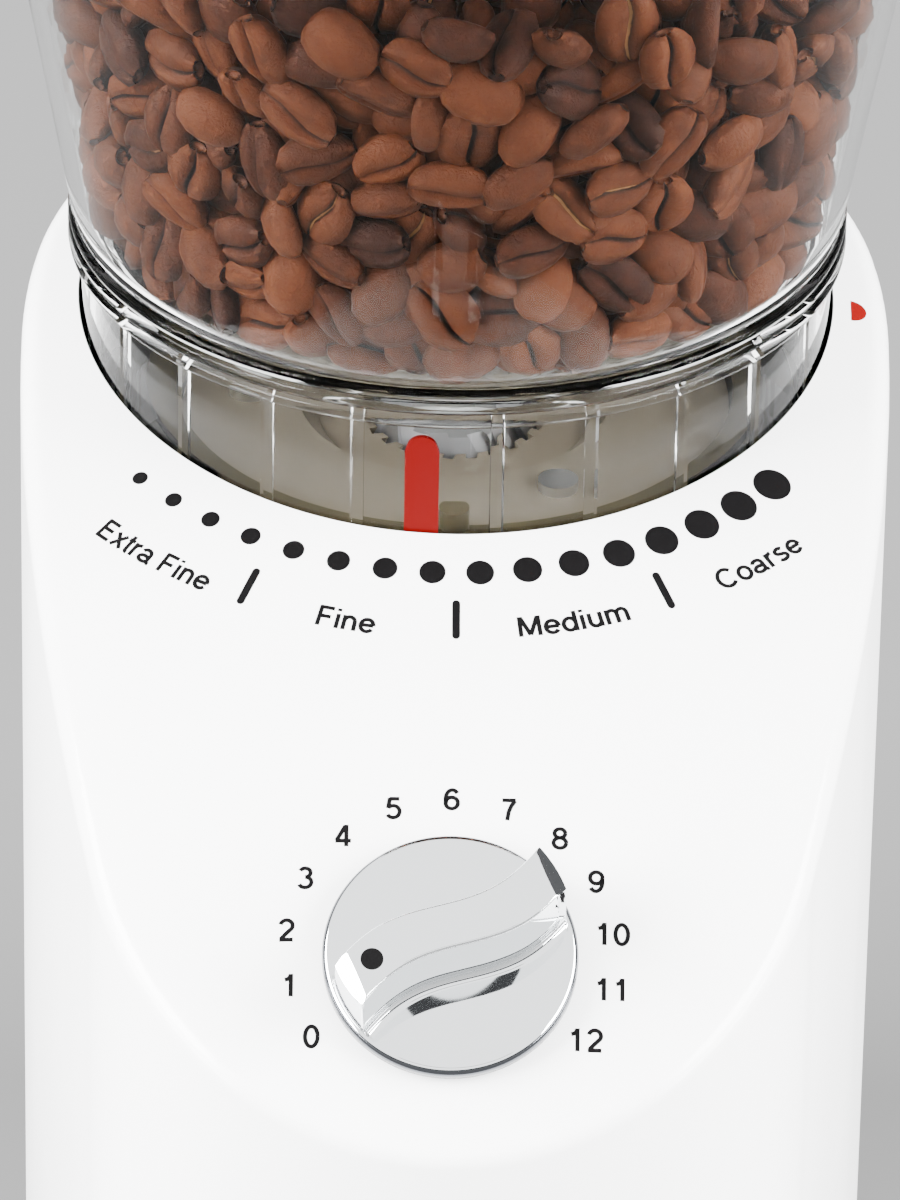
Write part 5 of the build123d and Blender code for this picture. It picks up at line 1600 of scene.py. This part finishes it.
# ---------------------------------------------------------------- beans
@dataclass
class BeanHeap:
    """Roasted beans that fill the hopper: a settled heap, hollow where nobody can see.

    Attributes:
        hopper: The hopper that holds them.
        seed: Seed of every random draw.
        count: Number of beans.
        length: Half length of a bean.
        width: Half width of a bean.
        dome: Height of a bean's round side.
        flat: Depth of its flat side.
        stations: Rows of points along a bean.
        fill: Height of the heap over the crest.
        shell: Thickness of the layer against the wall.
        crown: Thickness of the layer at the top.
        sink: How far a bean drops in each pass.
        passes: Number of passes in which the heap settles.
        funnel_slope: How fast the funnel widens with height.
    """

    hopper: Hopper
    seed: int = 11
    count: int = 1500
    length: float = 5.75 * MM
    width: float = 4.5 * MM
    dome: float = 3.5 * MM
    flat: float = 1.35 * MM
    stations: int = 7
    fill: float = 76.0 * MM
    shell: float = 25.0 * MM
    crown: float = 16.0 * MM
    sink: float = 0.10 * MM
    passes: int = 70
    funnel_slope: float = 2.06

    def bean(self) -> tuple[np.ndarray, np.ndarray, list[np.ndarray]]:
        """One bean: a dome over a flat side with a crease, as a grid round its long axis.

        Across each station the round side is half an ellipse. The flat side bulges slightly and has a
        narrow groove in its middle that wanders along one sine wave.

        Returns:
            Points, the crease depth at each point, and the face arrays.
        """
        share = np.sin(np.radians(np.linspace(-76, 76, self.stations)))
        size = (1 - share ** 2) ** 0.40
        round_side = np.radians(np.array([0, 32, 62, 90, 118, 148, 180]))
        across = np.concatenate([np.cos(round_side), [-0.62, -0.15, 0.0, 0.15, 0.62]])
        level = np.concatenate([self.dome * np.sin(round_side),
                                self.flat * np.array([-1.0, -1.16, -0.1, -1.16, -1.0])])
        depth = np.concatenate([np.zeros(7), [0.0, 0.12, 1.0, 0.12, 0.0]])
        wander = 0.12 * self.width * np.sin(np.pi * share)[:, None] * (np.abs(across) < 0.3)
        x = np.repeat(share[:, None] * self.length, len(across), axis=1)
        y = across * self.width * size[:, None] + wander
        z = level * size[:, None]
        body = np.stack([x, y, z], axis=-1).reshape(-1, 3)
        tips = np.array([[-self.length, 0.0, 0.0], [self.length, 0.0, 0.0]])
        points = np.concatenate([body, tips])
        crease = np.concatenate([np.tile(depth, self.stations), [0.5, 0.5]])
        columns = len(across)
        ring = np.arange(columns)
        last = (self.stations - 1) * columns
        start = np.stack([np.full(columns, len(body)), np.roll(ring, -1), ring], axis=1)
        end = np.stack([np.full(columns, len(body) + 1), last + ring, last + np.roll(ring, -1)], axis=1)
        return points, crease, [grid_faces(self.stations, columns, False, True)[:, ::-1], start, end]

    def wall_radius(self, height: np.ndarray) -> np.ndarray:
        """Inside radius of the bowl at a height over the crest; below the floor it follows the funnel.

        Args:
            height: Heights over the crest.

        Returns:
            Radii.
        """
        hopper = self.hopper
        share = (height - hopper.floor) / (hopper.height - hopper.floor)
        bowl = hopper.base - hopper.wall + (hopper.rim - hopper.base) * share
        funnel = hopper.base - hopper.wall + (height - hopper.floor) * self.funnel_slope
        return np.where(height > hopper.floor, bowl, funnel)

    def scatter(self, rng: np.random.Generator) -> np.ndarray:
        """Random starting places, even over the shell against the wall and the crown.

        Args:
            rng: Source of random numbers.

        Returns:
            Bean centres.
        """
        tries = self.count * 12
        places = rng.uniform(-1, 1, (tries, 3)) * np.array([self.hopper.rim, self.hopper.rim, 1.0])
        places[:, 2] = rng.uniform(self.hopper.floor - 6 * MM, self.fill - 3 * MM, tries)
        reach = np.hypot(places[:, 0], places[:, 1])
        limit = self.wall_radius(places[:, 2]) - 2 * MM
        deep = (reach < limit - self.shell) & (places[:, 2] < self.fill - self.crown)
        return places[(reach < limit) & ~deep][:self.count]

    def turnings(self, rng: np.random.Generator, places: np.ndarray) -> np.ndarray:
        """Axes of each bean: against the wall the thin way points outwards, elsewhere any way.

        Args:
            rng: Source of random numbers.
            places: Bean centres.

        Returns:
            Rotation matrices, shape (count, 3, 3), whose columns are the bean's axes.
        """
        count = len(places)
        outward_axis = places * np.array([1.0, 1.0, 0.0])
        outward_axis /= np.maximum(np.linalg.norm(outward_axis, axis=1, keepdims=True), 1e-6)
        outward_axis[:, 2] = -0.15
        room = self.wall_radius(places[:, 2]) - np.hypot(places[:, 0], places[:, 1])
        spread = np.where(room < 6.5 * MM, 0.30, 0.8)[:, None]
        normal = outward_axis + rng.normal(0, 1, (count, 3)) * spread
        normal *= np.where(rng.random(count) < 0.60, -1.0, 1.0)[:, None]
        normal /= np.linalg.norm(normal, axis=1, keepdims=True)
        along = rng.normal(0, 1, (count, 3)) * np.array([1.0, 1.0, 0.85])
        along -= (along * normal).sum(axis=1, keepdims=True) * normal
        along /= np.linalg.norm(along, axis=1, keepdims=True)
        return np.stack([along, np.cross(normal, along), normal], axis=-1)

    def settle(self, places: np.ndarray, axes: np.ndarray) -> np.ndarray:
        """Push overlapping beans apart, each taken as an ellipsoid, and keep them inside the walls.

        Two beans clear each other when their centres are further apart than the sum of their
        ellipsoids' reaches along the line between them. Each pass moves both by half the shortfall.

        Args:
            places: Starting places.
            axes: Axes of the beans.

        Returns:
            Settled places.
        """
        half = np.array([self.length, self.width, (self.dome + self.flat) / 2])
        places = places.copy()
        for _ in range(self.passes):
            gap = np.linalg.norm(places[:, None] - places[None], axis=-1)
            first, second = np.nonzero(np.triu(gap < 2 * self.length, 1))
            line = places[second] - places[first]
            length = np.maximum(np.linalg.norm(line, axis=1, keepdims=True), 1e-6)
            line = line / length
            reach = sum(1 / np.sqrt((np.einsum("nji,nj->ni", axes[pick], line) ** 2 / half ** 2).sum(axis=1))
                        for pick in (first, second))
            push = 0.5 * np.maximum(reach * 0.97 - length[:, 0], 0)[:, None] * line * 0.8
            np.add.at(places, first, -push)
            np.add.at(places, second, push)
            places[:, 2] -= self.sink
            places = self.contain(places, axes, half)
        return places

    def contain(self, places: np.ndarray, axes: np.ndarray, half: np.ndarray) -> np.ndarray:
        """Bring places back between the wall, the funnel, the top and the hollow middle.

        Args:
            places: Places to correct.
            axes: Axes of the beans.
            half: Half sizes of a bean.

        Returns:
            Corrected places.
        """
        upward = np.sqrt((axes[:, 2, :] ** 2 * half ** 2).sum(axis=1))
        reach = np.hypot(places[:, 0], places[:, 1])
        past = reach + 4 * MM - (self.hopper.base - self.hopper.wall)
        floor = self.hopper.floor + np.minimum(past, 0) / self.funnel_slope
        places[:, 2] = np.clip(places[:, 2], floor + upward * 0.8, self.fill)
        aside = places[:, :2] / np.maximum(reach, 1e-6)[:, None]
        sideways = np.sqrt((np.einsum("nji,nj->ni", axes[:, :2, :], aside) ** 2 * half ** 2).sum(axis=1))
        level = np.maximum(places[:, 2], self.hopper.floor + 0.01 * MM)
        limit = self.wall_radius(level) - sideways - 0.3 * MM
        inner = np.where(places[:, 2] < self.fill - self.crown, limit - self.shell, 0.0)
        places[:, :2] = aside * np.clip(reach, inner, limit)[:, None]
        return places

    def build_piece(self, name: str, rng: np.random.Generator, places: np.ndarray, axes: np.ndarray,
                    finish: bpy.types.Material) -> bpy.types.Object:
        """Make some of the beans as one piece.

        Each bean is scaled and bent a little by a random amount, turned, and moved inwards until it
        clears the wall.

        Args:
            name: Name of the piece.
            rng: Source of random numbers.
            places: Bean centres relative to the crest on the hopper's axis.
            axes: Axes of the beans.
            finish: Bean material.

        Returns:
            The piece.
        """
        points, crease, faces = self.bean()
        count = len(places)
        size = (1 + rng.normal(0, 0.05, (count, 1, 1))) * (1 + rng.normal(0, 0.045, (count, 1, 3)))
        shape = points[None] * size
        shape[..., 2] += rng.normal(0, 9.0, (count, 1)) * shape[..., 0] ** 2
        shape[..., 1] *= 1 + rng.normal(0, 16.0, (count, 1)) * shape[..., 0]
        placed = np.einsum("nij,npj->npi", axes, shape) + places[:, None, :]
        out = np.hypot(placed[..., 0], placed[..., 1])
        over = (out - self.wall_radius(placed[..., 2]) + 0.25 * MM).max(axis=1)
        inwards = places * np.array([1.0, 1.0, 0.0])
        inwards /= np.maximum(np.linalg.norm(inwards, axis=1, keepdims=True), 1e-6)
        placed = placed - inwards[:, None, :] * np.clip(over, 0, 2.5 * MM)[:, None, None]
        placed = placed + np.array([0.0, self.hopper.top.axle_y, self.hopper.top.crest_z])
        all_faces = [(part[None] + np.arange(count)[:, None, None] * len(points)).reshape(-1, part.shape[1])
                     for part in faces]
        piece = mesh_piece(name, placed.reshape(-1, 3), all_faces)
        tones = np.repeat(rng.beta(2.2, 2.2, count), len(points))
        chaffs = np.repeat(rng.random(count), len(points))
        for label, values in (("tone", tones), ("crease", np.tile(crease, count)), ("chaff", chaffs)):
            layer = piece.data.attributes.new(label, "FLOAT", "POINT")
            layer.data.foreach_set("value", values.astype(np.float32))
        piece.data.materials.append(finish)
        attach(piece, Body.HOPPER.value)
        return piece

    def build(self, finish: bpy.types.Material) -> list[bpy.types.Object]:
        """Settle the heap and make it in three pieces by height.

        Args:
            finish: Material of the piece.

        Returns:
            The new pieces.
        """
        rng = np.random.default_rng(self.seed)
        places = self.scatter(rng)
        axes = self.turnings(rng, places)
        places = self.settle(places, axes)
        order = np.argsort(places[:, 2])
        return [self.build_piece(name, rng, places[pick], axes[pick], finish)
                for name, pick in zip(("beans_low", "beans_middle", "beans_high"), np.array_split(order, 3))]


# ---------------------------------------------------------------- studio
@dataclass
class Studio:
    """Pale floor, soft lights and the camera.

    Attributes:
        top: The housing's top, which the camera looks at.
        elevation: Height of the camera in degrees over the level.
        swing: Its bearing.
        roll: Its lean.
        distance: Distance from the point it looks at.
        lens: Its focal length in millimetres.
        aim: Where it looks, from the crest on the hopper's axis.
        floor_reach: Half the width of the floor.
        floor_grey: Reflected share of light on the floor.
        sky_strength: Strength of the even sky.
        card_reach: Distance of the dark strips from the knob.
        card_drop: Height of their middle point under the crest.
        card_steps: Points along a strip.
        cards: Each strip's name, two elevations and two bearings.
        lamp_size: Width of the lamps.
        lamp_aim: Height at which the lamps look.
        lamps: Each lamp's name, place and power.
    """

    top: Top
    elevation: float = 31.716
    swing: float = -0.371
    roll: float = 0.974
    distance: float = 1639.9 * MM
    lens: float = 329.7
    aim: tuple[float, float, float] = (-0.106 * MM, 0.0, -60.253 * MM)
    floor_reach: float = 9.0
    floor_grey: float = 0.094
    sky_strength: float = 2.85
    card_reach: float = 1.1
    card_drop: float = 47.0 * MM
    card_steps: int = 49
    cards: tuple[tuple[str, float, float, float, float], ...] = (
        ("card_above", 48.0, 53.0, -16.0, 22.0), ("card_below", 3.0, 19.0, -150.0, 150.0),
        ("card_behind", 33.0, 45.0, 108.0, 125.0))
    lamp_size: float = 1.9
    lamp_aim: float = 0.14
    lamps: tuple[tuple[str, tuple[float, float, float], float], ...] = (
        ("key", (-2.0, -0.7, 1.05), 640.0), ("fill", (2.05, -0.7, 1.0), 540.0))

    def build_floor(self) -> None:
        """Large flat pale floor."""
        reach = self.floor_reach
        corners = np.array([[-reach, -reach, 0], [reach, -reach, 0], [reach, reach, 0], [-reach, reach, 0]])
        piece = mesh_piece("floor", corners, [np.array([[0, 1, 2, 3]])], smooth=False)
        material, _, shader = start_material("pale_floor")
        shader.inputs["Base Color"].default_value = (*[self.floor_grey] * 3, 1.0)
        shader.inputs["Roughness"].default_value = 0.9
        shader.inputs["Specular IOR Level"].default_value = 0.1
        piece.data.materials.append(material)

    def build_card(self, name: str, low: float, high: float, start: float, end: float) -> None:
        """Dark curved strip around the knob, between two elevations, for bright metal to mirror.

        Args:
            name: Name of the strip.
            low: Lower elevation in degrees.
            high: Upper elevation in degrees.
            start: First bearing in degrees, measured from the front towards +X.
            end: Last bearing.
        """
        bearing = np.radians(np.linspace(start, end, self.card_steps))
        steep = np.radians([[low], [high]])
        flat = self.card_reach * np.cos(steep)
        x = flat * np.sin(bearing)
        y = self.top.knob_y - flat * np.cos(bearing)
        middle = self.top.crest_z - self.card_drop
        z = np.broadcast_to(middle + self.card_reach * np.sin(steep), x.shape)
        points = np.stack([x, y, z], axis=-1).reshape(-1, 3)
        piece = mesh_piece(name, points, [grid_faces(2, self.card_steps, False, False)], smooth=False)
        piece.visible_camera = False
        piece.visible_diffuse = False
        piece.visible_shadow = False
        piece.visible_transmission = False
        material, _, shader = start_material(name + "_cloth")
        shader.inputs["Base Color"].default_value = (0.012, 0.012, 0.013, 1.0)
        shader.inputs["Roughness"].default_value = 0.95
        piece.data.materials.append(material)

    def add_light(self, name: str, place: tuple[float, float, float], power: float) -> None:
        """Square soft light that looks at the grinder.

        Args:
            name: Name of the light.
            place: Its middle.
            power: Its power in watts.
        """
        light = bpy.data.lights.new(name, "AREA")
        light.shape = "SQUARE"
        light.size = self.lamp_size
        light.energy = power
        holder = bpy.data.objects.new(name, light)
        holder.location = place
        middle = Vector((0.0, self.top.axle_y, self.lamp_aim))
        holder.rotation_euler = (middle - Vector(place)).to_track_quat("-Z", "Y").to_euler()
        bpy.context.scene.collection.objects.link(holder)

    def build_lights(self) -> None:
        """Even sky, a large key from the left and a weaker fill from the right."""
        world = bpy.data.worlds.new("sky")
        world.use_nodes = True
        world.node_tree.nodes["Background"].inputs["Color"].default_value = (1.0, 1.0, 1.0, 1.0)
        world.node_tree.nodes["Background"].inputs["Strength"].default_value = self.sky_strength
        bpy.context.scene.world = world
        for name, place, power in self.lamps:
            self.add_light(name, place, power)

    def build_camera(self) -> None:
        """Camera that looks down on the top and the hopper."""
        tilt, turn = math.radians(self.elevation), math.radians(self.swing)
        back = Vector((math.sin(turn) * math.cos(tilt), -math.cos(turn) * math.cos(tilt), math.sin(tilt)))
        right = Vector((math.cos(turn), math.sin(turn), 0.0))
        upward = back.cross(right)
        lean = math.radians(self.roll)
        right_leant = right * math.cos(lean) + upward * math.sin(lean)
        up_leant = upward * math.cos(lean) - right * math.sin(lean)
        aim = Vector(self.aim) + Vector((0.0, self.top.axle_y, self.top.crest_z))
        camera = bpy.data.cameras.new("camera")
        camera.lens = self.lens
        camera.clip_end = 50.0
        holder = bpy.data.objects.new("camera", camera)
        turned = Matrix((right_leant, up_leant, back)).transposed().to_4x4()
        holder.matrix_world = Matrix.Translation(aim + back * self.distance) @ turned
        bpy.context.scene.collection.objects.link(holder)
        bpy.context.scene.camera = holder

    def build(self) -> None:
        """Set the whole stage."""
        self.build_floor()
        for card in self.cards:
            self.build_card(*card)
        self.build_lights()
        self.build_camera()


# ---------------------------------------------------------------- the rest of the frame
def dress_frame(finishes: dict[Slot, bpy.types.Material], skip: Iterable[str]) -> None:
    """Give every CAD node that stays visible its finish and smooth shading.

    Args:
        finishes: Material for each slot.
        skip: Nodes that other pieces replace.
    """
    hidden = set(skip)
    for part in frame["record"]["subparts"]:
        node = frame["nodes"][part["node"]]
        node.data.materials.clear()
        own = NODE_FINISHES.get(part["node"])
        node.data.materials.append(own.build() if own else finishes[Slot(part["material_slot"])])
        if part["node"] not in hidden:
            soften(node)


def main() -> None:
    """Build the grinder's looks piece by piece."""
    logging.basicConfig(level=logging.INFO)
    top = Top()
    Studio(top).build()
    finishes = {slot: look.build() for slot, look in FINISHES.items()}
    black = Ink("print_black", (0.0022, 0.0021, 0.0022)).build()
    red = Ink("print_red", (0.105, 0.0004, 0.0001)).build()
    made = DeckMarks(top).build(black, red)
    made += TimerKnob(top).build(finishes[Slot.CHROME], black)
    hopper = Hopper(top)
    made += [hopper.build_bowl(finishes[Slot.CLEAR]), hopper.build_pointer(finishes[Slot.RED]),
             hopper.build_lid(finishes[Slot.SMOKE])]
    made += BeanHeap(hopper).build(BeanSkin().build())
    dress_frame(finishes, ("hopper_bowl", "hopper_pointer", "hopper_lid", "timer_knob"))
    for piece in made:
        LOG.info("%s: %d faces", piece.name, len(piece.data.polygons))


if __name__ == "__main__":
    main()
